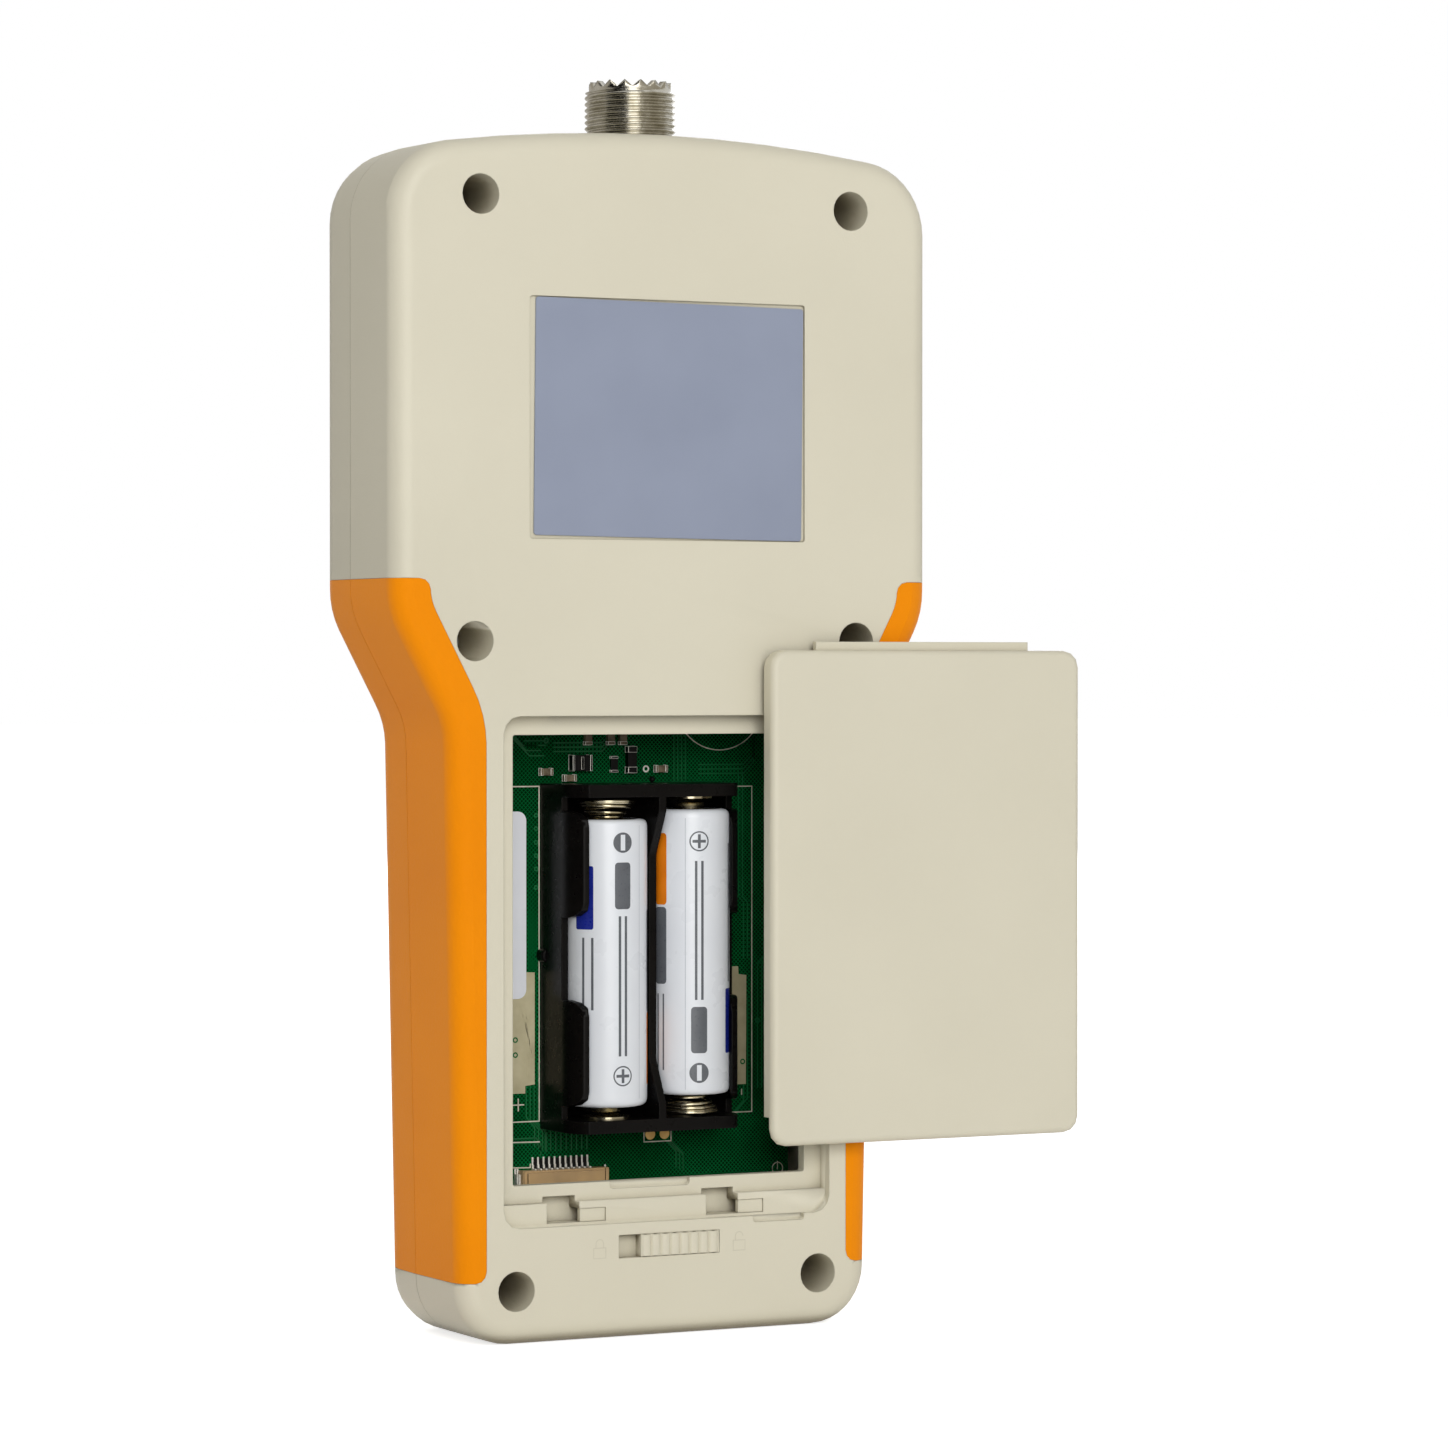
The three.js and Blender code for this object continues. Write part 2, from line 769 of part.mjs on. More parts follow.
// Two rails that hold the latch plate against the back wall and let it slide.
function latchGuides() {
  const half = latchSlotHalf + guideMargin;
  const lipUnderY = latchPlateUnderY - fitGap - guideThickness;
  const lipTopY = latchPlateUnderY - fitGap;
  const lowWall = latchPlateBottom - fitGap - guideThickness;
  const lower = box(-half, half, lipUnderY, backY - wall + weld, lowWall, lowWall + guideThickness);
  const lowerLip = box(-half, half, lipUnderY, lipTopY, lowWall, lowWall + guideThickness + guideLip);
  const highWall = latchPlateTop + fitGap;
  const upper = box(-half, half, lipUnderY, frameUnderY + weld, highWall, highWall + guideThickness);
  const upperLip = box(-half, half, lipUnderY, lipTopY, highWall - guideLip, highWall + guideThickness);
  return lower.add(lowerLip).add(upper).add(upperLip);
}

function labelSeat() {
  const half = labelWidth / 2 + labelMarginX;
  const rise = labelHeight / 2 + labelMarginZ;
  const centre = caseHeight - labelDrop;
  const outline = roundedRectangle(-half, half, centre - rise, centre + rise, labelRadius);
  return prismY(outline, backY - labelSeatDepth, backY + overrun);
}

function socketHole() {
  return rodZ(socketRadius + slideGap, flangeTopZ - overrun, caseHeight + overrun, 0, socketY, fineSides);
}

// A rib across the case with a round cut, which traps the socket's flange under the crown.
function trapRib(y0, y1) {
  const top = flangeTopZ - socketFlangeThickness - fitGap;
  const rib = box(-trapRibHalfWidth, trapRibHalfWidth, y0, y1, top - trapRibThickness, top);
  const hole = rodZ(socketTailRadius + fitGap, top - trapRibThickness - overrun, top + overrun, 0, socketY);
  return rib.subtract(hole);
}

function buildRearShell() {
  let shell = rearHalf(0, rearStartY).subtract(rearHalf(wall, rearStartY - overrun));
  shell = shell.add(bayBlock()).add(trapRib(rearStartY, backY - wall + weld));
  for (const [, x, z] of postPlaces) {
    shell = shell.add(rodY(postRadius, rearStartY, backY - wall + weld, x, z, hiddenSides));
  }
  shell = shell.add(latchGuides()).subtract(bayCuts()).subtract(latchCuts()).subtract(labelSeat());
  for (const [, x, z] of postPlaces) {
    shell = shell.subtract(rodY(wellRadius, partingY + wellFloor, backY + overrun, x, z));
    const floorY = partingY + wellFloor + weld;
    shell = shell.subtract(rodY(screwHoleRadius, partingY - overrun, floorY, x, z, hiddenSides));
  }
  shell = shell.subtract(socketHole()).subtract(rearGripSeat(1)).subtract(rearGripSeat(-1));
  place("rear_shell", shell, caseFinish());
}

function keypadCuts() {
  const half = keypadWidth / 2;
  const pocket = roundedRectangle(-half, half, keypadBottom, keypadBottom + keypadHeight, keypadRadius);
  const slitLow = keypadBottom + tailSlitRise;
  const slit = box(
    ribbonSocketX - tailWidth / 2 - fitGap,
    ribbonSocketX + tailWidth / 2 + fitGap,
    frontY - overrun,
    keypadFloorY + keypadFloor + overrun,
    slitLow,
    slitLow + tailSlitWidth,
  );
  return prismY(pocket, frontY - overrun, keypadFloorY).add(slit);
}

function keypadPad() {
  const half = keypadWidth / 2 + keypadRim;
  const low = keypadBottom - keypadRim;
  const high = keypadBottom + keypadHeight + keypadRim;
  const outline = roundedRectangle(-half, half, low, high, keypadRadius + keypadRim);
  return prismY(outline, frontY + wall - weld, keypadFloorY + keypadFloor);
}

function displayCuts() {
  const half = windowWidth / 2 + slideGap;
  const rise = windowHeight / 2 + slideGap;
  const seat = roundedRectangle(-half, half, displayZ - rise, displayZ + rise, windowRadius);
  const lightHalf = windowWidth / 2 - windowRim;
  const lightRise = windowHeight / 2 - windowRim;
  const light = roundedRectangle(-lightHalf, lightHalf, displayZ - lightRise, displayZ + lightRise, weld);
  const outer = prismY(seat, frontY - overrun, frontY + windowSeatDepth);
  return outer.add(prismY(light, frontY - overrun, frontY + wall + overrun));
}

const usbBackY = boardFrontY;
const usbFrontY = boardFrontY - usbHeight;

function usbCut() {
  return box(
    usbX - usbWidth / 2 - usbWindowGap,
    usbX + usbWidth / 2 + usbWindowGap,
    usbFrontY - usbWindowGap,
    usbBackY + usbWindowGap,
    -overrun,
    wall + overrun,
  );
}

function buildFrontShell() {
  let shell = frontHalf(0, frontEndY).subtract(frontHalf(wall, frontEndY + overrun));
  shell = shell.add(keypadPad()).add(trapRib(frontY + wall - weld, frontEndY));
  for (const [, x, z] of postPlaces) {
    shell = shell.add(rodY(postRadius, frontY + wall - weld, frontEndY, x, z, hiddenSides));
  }
  for (const [, x, z] of boardScrewPlaces) {
    shell = shell.add(rodY(standoffRadius, frontY + wall - weld, boardFrontY, x, z, hiddenSides));
  }
  shell = shell.subtract(keypadCuts()).subtract(displayCuts()).subtract(usbCut());
  for (const [, x, z] of postPlaces) {
    const depth = partingY + wellFloor - screwLength - fitGap;
    shell = shell.subtract(rodY(pilotRadius, depth, frontEndY + overrun, x, z, hiddenSides));
  }
  for (const [, x, z] of boardScrewPlaces) {
    const depth = boardBackY - boardScrewLength - fitGap;
    shell = shell.subtract(rodY(standoffPilotRadius, depth, boardFrontY + overrun, x, z, hiddenSides));
  }
  shell = shell.subtract(socketHole()).subtract(frontGripSeat(1)).subtract(frontGripSeat(-1));
  place("front_shell", shell, caseFinish());
}

function coverRing(inset, y) {
  const half = bayWidth / 2 - coverGapX - inset;
  const low = bayBottom + coverGapZ + inset;
  const high = bayBottom + bayHeight - coverGapZ - inset;
  const outline = roundedRectangle(-half, half, low, high, bayRadius - inset);
  return outline.map((point) => new THREE.Vector3(point.x, y, point.y));
}

function coverPlateSolid() {
  const rings = [coverRing(0, backY - coverDepth)];
  for (let step = 0; step <= edgeSteps; step++) {
    const angle = (quarterTurn * step) / edgeSteps;
    const inset = coverEdgeRadius * (1 - Math.cos(angle));
    rings.push(coverRing(inset, backY - coverEdgeRadius + coverEdgeRadius * Math.sin(angle)));
  }
  return loft(rings);
}

// A hook whose toe reaches sideways, under the latch's tab once the cover is home.
function coverHook(centre) {
  const left = centre + notchWidth / 2 - fitGap;
  const right = centre - notchWidth / 2 + fitGap;
  const low = notchBottom + slideGap;
  const tip = backY - coverLip - hookReach;
  const stem = box(left - hookStem, left, tip, backY - coverLip + weld, low, low + hookHeight);
  return stem.add(box(right, left, tip, tip + toeThickness, low, low + hookHeight));
}

function buildCover() {
  const half = bayWidth / 2 - coverGapX;
  const low = bayBottom + coverGapZ;
  const high = bayBottom + bayHeight - coverGapZ;
  const lipTop = low + coverLipHeight;
  const inner = backY - coverDepth;
  const pocket = roundedRectangle(
    -half + coverSkirt,
    half - coverSkirt,
    lipTop + coverSkirt,
    high - coverSkirt,
    bayRadius - coverSkirt,
  );
  let cover = coverPlateSolid().subtract(prismY(pocket, inner - overrun, backY - coverPlate));
  cover = cover.subtract(
    box(-half - overrun, half + overrun, inner - overrun, backY - coverLip, low - overrun, lipTop),
  );
  const tongueHalf = tongueWidth / 2;
  const tongueTop = high + tongueReach;
  cover = cover.add(
    box(-tongueHalf, tongueHalf, inner, inner + tongueThickness, high - tongueSetback, tongueTop),
  );
  for (const centre of notchCentres) cover = cover.add(coverHook(centre));
  place("battery_cover", cover, caseFinish(), coverAwayX, coverLift, coverAwayZ);
}

function latchTab(x) {
  const tall = backY - shelfDepth - slideGap;
  const low = notchBottom + slideGap;
  const right = x - tabWidth / 2;
  const stem = box(right, right + tabStem, latchPlateTopY - weld, tall, low, low + tabHeight);
  return stem.add(box(right, x + tabWidth / 2, tall - tabArm, tall, low, low + tabHeight));
}

function buildLatch() {
  const left = latchThumbRestX + latchThumbWidth / 2;
  const right = latchThumbRestX - latchThumbWidth / 2;
  const thumbLow = latchSlotBottom + slideGap;
  const thumbHigh = latchSlotBottom + latchSlotHeight - slideGap;
  const thumbTop = backY - seatGap;
  let latch = box(
    -latchPlateRight,
    latchPlateLeft,
    latchPlateUnderY,
    latchPlateTopY,
    latchSlotBottom + latchSlotHeight + fitGap,
    latchPlateTop,
  );
  const padLeft = latchThumbRestX + latchPadReach;
  const padRight = latchThumbRestX - latchPadReach;
  latch = latch.add(box(padRight, padLeft, latchPlateUnderY, latchPlateTopY, latchPlateBottom, latchPlateTop));
  latch = latch.add(box(padRight, padLeft, latchPlateUnderY, latchPadTopY, latchPlateBottom, latchPadHigh));
  latch = latch.add(box(right, left, latchPlateTopY - weld, thumbTop, thumbLow, thumbHigh));
  const pitch = latchThumbWidth / latchRibCount;
  const groove = pitch * latchRibShare;
  for (let i = 0; i < latchRibCount; i++) {
    const middle = right + pitch * (i + grooveCentreShare);
    const outline = [
      new THREE.Vector2(middle - groove / 2, thumbTop),
      new THREE.Vector2(middle, thumbTop - latchRibDepth),
      new THREE.Vector2(middle + groove / 2, thumbTop),
      new THREE.Vector2(middle + groove / 2, thumbTop + overrun),
      new THREE.Vector2(middle - groove / 2, thumbTop + overrun),
    ];
    latch = latch.subtract(prismZ(outline, thumbLow - overrun, thumbHigh + overrun));
  }
  for (const x of tabRestX) latch = latch.add(latchTab(x));
  place("cover_latch", latch, caseFinish());
}

function buildLabel() {
  const half = labelWidth / 2;
  const rise = labelHeight / 2;
  const outline = roundedRectangle(-half, half, -rise, rise, labelRadius);
  const seat = backY - labelSeatDepth;
  const sheet = prismY(outline, 0, labelThickness);
  const label = place("back_label", sheet, labelFinish(), labelShift, seat, caseHeight - labelDrop);
  label.rotation.y = THREE.MathUtils.degToRad(labelTilt);
}

function buildCaseScrews() {
  for (const [word, x, z] of postPlaces) {
    const head = rodY(screwHeadRadius, 0, screwHeadHeight, 0, 0);
    const shank = rodY(screwShankRadius, -screwLength, weld, 0, 0, hiddenSides);
    place("case_screw_" + word, head.add(shank), steelFinish(), x, partingY + wellFloor, z);
  }
}

function boardOutline() {
  const top = caseHeight - boardTopDrop;
  const notchHalf = middlePostX - postRadius - boardPostGap;
  const notchLow = middlePostZ - postRadius - boardPostGap;
  const notchHigh = middlePostZ + postRadius + boardPostGap;
  const gripHalf = baseHalfWidth - boardGripMargin;
  const headHalf = headHalfWidth - boardHeadMargin;
  const rightSide = [
    [gripHalf, boardBottom, boardCornerRadius],
    [gripHalf, notchLow, boardCornerRadius],
    [notchHalf, notchLow, boardCornerRadius],
    [notchHalf, notchHigh, boardCornerRadius],
    [headHalf, notchHigh, boardCornerRadius],
    [headHalf, top, boardCornerRadius],
  ];
  const leftSide = rightSide.map(([x, z, radius]) => [-x, z, radius]).reverse();
  const tongueRight = postRadius + boardTongueGap - lowerPostX;
  const tongue = [
    [tongueRight, boardBottom, 0],
    [tongueRight, boardTongueBottom, 0],
    [boardTongueLeft, boardTongueBottom, 0],
    [boardTongueLeft, boardBottom, 0],
  ];
  return filleted([...rightSide, ...leftSide, ...tongue]);
}

function buildBoard() {
  let board = prismY(boardOutline(), boardFrontY, boardBackY);
  for (const [, x, z] of boardScrewPlaces) {
    const past = boardBackY + overrun;
    board = board.subtract(rodY(boardScrewHoleRadius, boardFrontY - overrun, past, x, z, hiddenSides));
  }
  place("main_board", board, boardFinish());
  for (const [word, x, z] of boardScrewPlaces) {
    const head = rodY(boardScrewHeadRadius, 0, boardScrewHeadHeight, 0, 0);
    const shank = rodY(boardScrewShankRadius, -boardScrewLength, weld, 0, 0, hiddenSides);
    place("board_screw_" + word, head.add(shank), steelFinish(), x, boardBackY, z);
  }
}

function buildShieldAndBeeper() {
  const half = shieldWidth / 2;
  const outline = roundedRectangle(-half, half, 0, shieldHeight, shieldRadius);
  const can = prismY(outline, 0, shieldDepth);
  place("shield_can", can, nickelFinish(), 0, boardBackY, displayZ - shieldFall);
  const beeper = rodY(beeperRadius, 0, beeperDepth, 0, 0).subtract(
    rodY(beeperHoleRadius, beeperDepth - beeperHoleDepth, beeperDepth + overrun, 0, 0),
  );
  place("beeper", beeper, darkPlasticFinish(), beeperInset - middlePostX, boardBackY, shoulderHeight - beeperDrop);
}

const cellTotal = cellLength + cellNubHeight;
const contactHeight = contactPlate + contactBump;
const holderLength = cellTotal + contactHeight + fitGap + springSpace + 2 * holderEndWall;
const cellX = { left: cellPairX + cellSpacing / 2, right: cellPairX - cellSpacing / 2 };
const holderTop = holderBottom + holderLength;
const innerBottom = holderBottom + holderEndWall;
const innerTop = holderTop - holderEndWall;
const boreRadius = cellRadius + slideGap;
const holderRadius = boreRadius + holderWall;
const flapAngle = THREE.MathUtils.degToRad(holderFlapAngle);
const flapTipY = cellAxisY + holderRadius * Math.sin(flapAngle);
const holderTopY = cellAxisY + holderRise;

// The windows between the flaps, cut through the side walls above the cells' middle.
function flapWindows() {
  const past = flapTipY + overrun;
  const gapTop = innerTop - holderFlapGap;
  const middleHigh = gapTop - holderFlapLength;
  const gapBottom = innerBottom + holderFlapGap;
  const middleLow = gapBottom + holderFlapLength;
  const x0 = cellX.right - holderRadius - overrun;
  const x1 = cellX.left + holderRadius + overrun;
  const openings = [
    [innerBottom, gapBottom],
    [middleLow, middleHigh],
    [gapTop, innerTop],
  ];
  return openings
    .map(([low, high]) => prismX(windowOutline(low, high, past), x0, x1))
    .reduce((joined, opening) => joined.add(opening));
}

// The round corner of a flap in Y and Z, from its side edge at a height to its tip.
function flapCorner(z, direction) {
  const points = [];
  for (let step = 0; step <= cornerSteps; step++) {
    const angle = (quarterTurn * step) / cornerSteps;
    const y = flapTipY - holderFlapRoundY + holderFlapRoundY * Math.sin(angle);
    points.push(new THREE.Vector2(y, z + direction * holderFlapRoundZ * (1 - Math.cos(angle))));
  }
  return points;
}

// A window in Y and Z that widens upwards beside a flap, and stays straight beside an end wall.
function windowOutline(low, high, past) {
  const highIsFlap = high < innerTop - seatGap;
  const lowIsFlap = low > innerBottom + seatGap;
  const highEdge = highIsFlap ? flapCorner(high, 1) : [new THREE.Vector2(flapTipY, high)];
  const lowEdge = lowIsFlap ? flapCorner(low, -1) : [new THREE.Vector2(flapTipY, low)];
  return [
    new THREE.Vector2(cellAxisY, low),
    new THREE.Vector2(cellAxisY, high),
    ...highEdge,
    new THREE.Vector2(past, highEdge.at(-1).y),
    new THREE.Vector2(past, lowEdge.at(-1).y),
    ...lowEdge.reverse(),
  ];
}

function holderDividerSolid() {
  const floorY = boardBackY + weld;
  const dipLow = innerBottom + holderLength * holderDipShare;
  const dipHigh = innerTop - holderLength * holderDipShare;
  const outline = filleted([
    [floorY, innerBottom - weld, 0],
    [holderTopY, innerBottom - weld, 0],
    [holderTopY, innerBottom + holderFlapGap, holderDividerRadius],
    [holderTopY - holderDividerDip, dipLow, holderDividerRadius],
    [holderTopY - holderDividerDip, dipHigh, holderDividerRadius],
    [holderTopY, innerTop - holderFlapGap, holderDividerRadius],
    [holderTopY, innerTop + weld, 0],
    [floorY, innerTop + weld, 0],
  ]);
  return prismX(outline, cellPairX - holderDivider / 2, cellPairX + holderDivider / 2);
}

function buildHolder() {
  const outer = (x) => rodZ(holderRadius, holderBottom, holderTop, x, cellAxisY, fineSides);
  const bore = (x) => rodZ(boreRadius, innerBottom, innerTop, x, cellAxisY, fineSides);
  const left = cellX.left + holderRadius;
  const right = cellX.right - holderRadius;
  let holder = outer(cellX.left).add(outer(cellX.right));
  holder = holder.add(box(cellX.right, cellX.left, boardBackY, holderTopY, holderBottom, holderTop));
  holder = holder.add(box(right, left, boardBackY, cellAxisY, holderBottom, holderTop));
  const tipX = boreRadius * Math.cos(flapAngle);
  const past = holderTopY + holderRadius;
  const mouth = box(cellX.right - tipX, cellX.left + tipX, cellAxisY, past, innerBottom, innerTop);
  const overFlaps = box(right - overrun, left + overrun, flapTipY, past, innerBottom, innerTop);
  const overEnds = box(
    right - overrun,
    left + overrun,
    holderTopY,
    past,
    holderBottom - overrun,
    holderTop + overrun,
  );
  holder = holder.subtract(bore(cellX.left)).subtract(bore(cellX.right)).subtract(mouth);
  holder = holder.subtract(flapWindows()).subtract(overFlaps).subtract(overEnds);
  place("battery_holder", holder.add(holderDividerSolid()), holderFinish());
}

function cellSolid() {
  const inner = cellRadius - cellShoulder;
  return turnedZ([
    [0, 0],
    [inner, 0],
    [cellRadius, cellShoulder],
    [cellRadius, cellLength - cellShoulder],
    [inner, cellLength],
    [cellNubRadius, cellLength],
    [cellNubRadius, cellTotal],
    [0, cellTotal],
  ]);
}

// One cell has its positive end down and the other has it up.
function buildCells() {
  const up = place("cell_right", cellSolid(), cellFinish());
  up.position.set(cellX.right, cellAxisY, innerTop - contactHeight - fitGap - cellTotal);
  const down = place("cell_left", cellSolid(), cellFinish());
  down.rotation.x = Math.PI;
  down.position.set(cellX.left, cellAxisY, innerBottom + contactHeight + fitGap + cellTotal);
}

function contactSolid() {
  return turnedZ([
    [0, 0],
    [contactRadius, 0],
    [contactRadius, contactPlate],
    [contactBumpRadius + contactBump, contactPlate],
    [contactBumpRadius, contactHeight],
    [0, contactHeight],
  ]);
}

function buildContacts() {
  const low = place("contact_left", contactSolid(), nickelFinish());
  low.position.set(cellX.left, cellAxisY, innerBottom);
  const high = place("contact_right", contactSolid(), nickelFinish());
  high.rotation.x = Math.PI;
  high.position.set(cellX.right, cellAxisY, innerTop);
}

// Centre points of a conical coil that stands on its wide end, each with its outward direction.
function coilPath() {
  const steps = springTurns * springStepsPerTurn;
  const foot = fitGap;
  const coilStart = foot + springWire;
  const coilEnd = springSpace - fitGap - springWire;
  const outward = (angle) => new THREE.Vector3(Math.cos(angle), Math.sin(angle), 0);
  const first = outward(0);
  const path = [{ at: first.clone().multiplyScalar(springWideRadius).setZ(foot), out: first }];
  for (let step = 0; step <= steps; step++) {
    const along = step / steps;
    const out = outward((fullTurn * step) / springStepsPerTurn);
    const radius = THREE.MathUtils.lerp(springWideRadius, springNarrowRadius, along);
    const height = THREE.MathUtils.lerp(coilStart, coilEnd, along);
    path.push({ at: out.clone().multiplyScalar(radius).setZ(height), out });
  }
  const end = path.at(-1);
  path.push({ at: end.at.clone().setZ(coilEnd + springWire), out: end.out });
  return path;
}

function wireSolid(path) {
  const positions = [];
  const index = [];
  path.forEach(({ at, out }, i) => {
    const before = path[Math.max(i - 1, 0)].at;
    const after = path[Math.min(i + 1, path.length - 1)].at;
    const along = after.clone().sub(before).normalize();
    const side = new THREE.Vector3().crossVectors(along, out).normalize();
    for (let k = 0; k < springSides; k++) {
      const angle = (fullTurn * k) / springSides;
      const point = at.clone().addScaledVector(out, (Math.cos(angle) * springWire) / 2);
      point.addScaledVector(side, (Math.sin(angle) * springWire) / 2);
      positions.push(point.x, point.y, point.z);
    }
  });
  for (let r = 0; r + 1 < path.length; r++) {
    for (let k = 0; k < springSides; k++) {
      const a = r * springSides + k;
      const b = r * springSides + ((k + 1) % springSides);
      index.push(a, b, b + springSides, a, b + springSides, a + springSides);
    }
  }
  const last = (path.length - 1) * springSides;
  for (let k = 1; k + 1 < springSides; k++) {
    index.push(0, k + 1, k);
    index.push(last, last + k, last + k + 1);
  }
  const geometry = new THREE.BufferGeometry();
  geometry.setAttribute("position", new THREE.Float32BufferAttribute(positions, 3));
  geometry.setIndex(index);
  return solidOf(geometry);
}

// The least gap between turns, measured on the centre points half a turn or more apart.
function leastCoilGap(path) {
  let least = Infinity;
  path.forEach(({ at }, i) => {
    path.slice(i + springStepsPerTurn / 2).forEach((other) => {
      least = Math.min(least, at.distanceTo(other.at) - springWire);
    });
  });
  return least;
}

function buildSprings() {
  const path = coilPath();
  console.log("least gap of a spring to itself, mm:", leastCoilGap(path).toFixed(2));
  const top = place("spring_left", wireSolid(path), nickelFinish());
  top.rotation.x = Math.PI;
  top.position.set(cellX.left, cellAxisY, innerTop);
  const low = place("spring_right", wireSolid(path), nickelFinish());
  low.position.set(cellX.right, cellAxisY, innerBottom);
}

const overlayY = frontY + overlayThickness;
const membraneFrontY = keypadFloorY - membraneThickness;

function keyCentres() {
  const centres = [];
  for (let row = 0; row < keyRows; row++) {
    for (let column = 0; column < keyColumns; column++) {
      const x = (column - (keyColumns - 1) / 2) * keyPitchX;
      const z = keypadCentreZ + ((keyRows - 1) / 2 - row) * keyPitchZ;
      centres.push([x, z]);
    }
  }
  return centres;
}

function keyOutline(x, z, grow) {
  const half = keyWidth / 2 + grow;
  const rise = keyHeight / 2 + grow;
  return roundedRectangle(x - half, x + half, z - rise, z + rise, keyRadius + grow, keyCornerSteps);
}

function buildOverlayAndMembrane() {
  const half = keypadWidth / 2 - slideGap;
  const low = keypadBottom + slideGap;
  const high = keypadBottom + keypadHeight - slideGap;
  const sheet = roundedRectangle(-half, half, low, high, keypadRadius - slideGap);
  let overlay = prismY(sheet, frontY, keypadFloorY).subtract(keyField());
  for (const [x, z] of keyCentres()) {
    overlay = overlay.subtract(prismY(keyOutline(x, z, slideGap), frontY - overrun, overlayY + overrun));
  }
  place("keypad_overlay", overlay, overlayFinish());
  const inner = keyFieldOutline(-slideGap);
  place("keypad_membrane", prismY(inner, membraneFrontY, keypadFloorY), filmFinish());
}

// The hollow behind the overlay in which the keys' flanges and the circuit sheet lie.
function keyFieldOutline(grow) {
  const half = ((keyColumns - 1) * keyPitchX + keyWidth) / 2 + keyFlange + fitGap + grow;
  const rise = ((keyRows - 1) * keyPitchZ + keyHeight) / 2 + keyFlange + fitGap + grow;
  return roundedRectangle(-half, half, keypadCentreZ - rise, keypadCentreZ + rise, keyRadius);
}

function keyField() {
  return prismY(keyFieldOutline(0), overlayY, keypadFloorY + overrun);
}

function keySolid() {
  const ring = (grow, y) => keyOutline(0, 0, grow).map((p) => new THREE.Vector3(p.x, y, p.y));
  const flangeFront = overlayY + seatGap;
  const top = frontY - keyProud;
  const cap = loft([
    ring(-keyCrownInset, top),
    ring(-keyCrownInset * keyRollShare, top + keyProud * keyRollShare),
    ring(0, frontY),
    ring(0, flangeFront + weld),
  ]);
  return cap.add(loft([ring(keyFlange, flangeFront), ring(keyFlange, flangeFront + keyFlangeThickness)]));
}

function buildKeys() {
  const key = keySolid();
  keyCentres().forEach(([x, z], i) => {
    const word = String(i + 1).padStart(2, "0");
    place("key_" + word, key, keyFinish(), x, 0, z);
  });
}

// A flat strip of even thickness along a path of points in Y and Z.
function stripOutline(path, thickness) {
  const edge = (sign) =>
    path.map((point, i) => {
      const before = path[Math.max(i - 1, 0)];
      const after = path[Math.min(i + 1, path.length - 1)];
      const along = after.clone().sub(before).normalize();
      const across = new THREE.Vector2(-along.y, along.x);
      return point.clone().addScaledVector(across, (sign * thickness) / 2);
    });
  return [...edge(1), ...edge(-1).reverse()];
}

// The keypad's tail: through the case's slit, round the board's foot and up into its socket.
function buildTail() {
  const slitZ = keypadBottom + tailSlitRise + tailSlitWidth / 2;
  const startY = keypadFloorY + fitGap;
  const turnY = keypadFloorY + keypadFloor + tailTurnRoom;
  const lowZ = boardBottom - tailBoardGap;
  const upY = boardBackY + ribbonSocketHeight / 2;
  const corners = [
    [startY, slitZ, 0],
    [turnY, slitZ, tailBend],
    [turnY, lowZ, tailBend],
    [upY, lowZ, tailBend],
    [upY, ribbonSocketBottom + ribbonMouthDepth - fitGap, 0],
  ];
  const path = filleted(corners);
  const ribbon = prismX(stripOutline(path, tailThickness), -tailWidth / 2, tailWidth / 2);
  place("keypad_tail", ribbon, filmFinish(), ribbonSocketX, 0, 0);
}

function buildRibbonSocket() {
  const half = ribbonSocketWidth / 2;
  const middle = ribbonSocketHeight / 2;
  const body = box(-half, half, 0, ribbonSocketHeight, 0, ribbonSocketTall);
  const mouth = box(
    -tailWidth / 2 - fitGap,
    tailWidth / 2 + fitGap,
    middle - ribbonMouthHeight / 2,
    middle + ribbonMouthHeight / 2,
    -overrun,
    ribbonMouthDepth,
  );
  const solid = body.subtract(mouth);
  place("keypad_socket", solid, socketPlasticFinish(), ribbonSocketX, boardBackY, ribbonSocketBottom);
}

function buildDisplay() {
  const half = windowWidth / 2;
  const rise = windowHeight / 2;
  const pane = prismY(roundedRectangle(-half, half, -rise, rise, windowRadius), 0, windowThickness);
  place("display_window", pane, windowFinish(), 0, frontY, displayZ);
  const moduleFront = frontY + wall + moduleGap;
  const wide = moduleWidth / 2;
  const tall = moduleHeight / 2;
  const panel = box(-wide, wide, 0, moduleThickness, -tall, tall);
  place("display_module", panel, darkPlasticFinish(), 0, moduleFront, displayZ);
  const carrierFront = moduleFront + moduleThickness;
  const frame = box(-wide, wide, 0, boardFrontY - carrierFront, -tall, tall).subtract(
    box(-wide + carrierBand, wide - carrierBand, -overrun, boardFrontY, -tall + carrierBand, tall - carrierBand),
  );
  place("display_carrier", frame, darkPlasticFinish(), 0, carrierFront, displayZ);
}

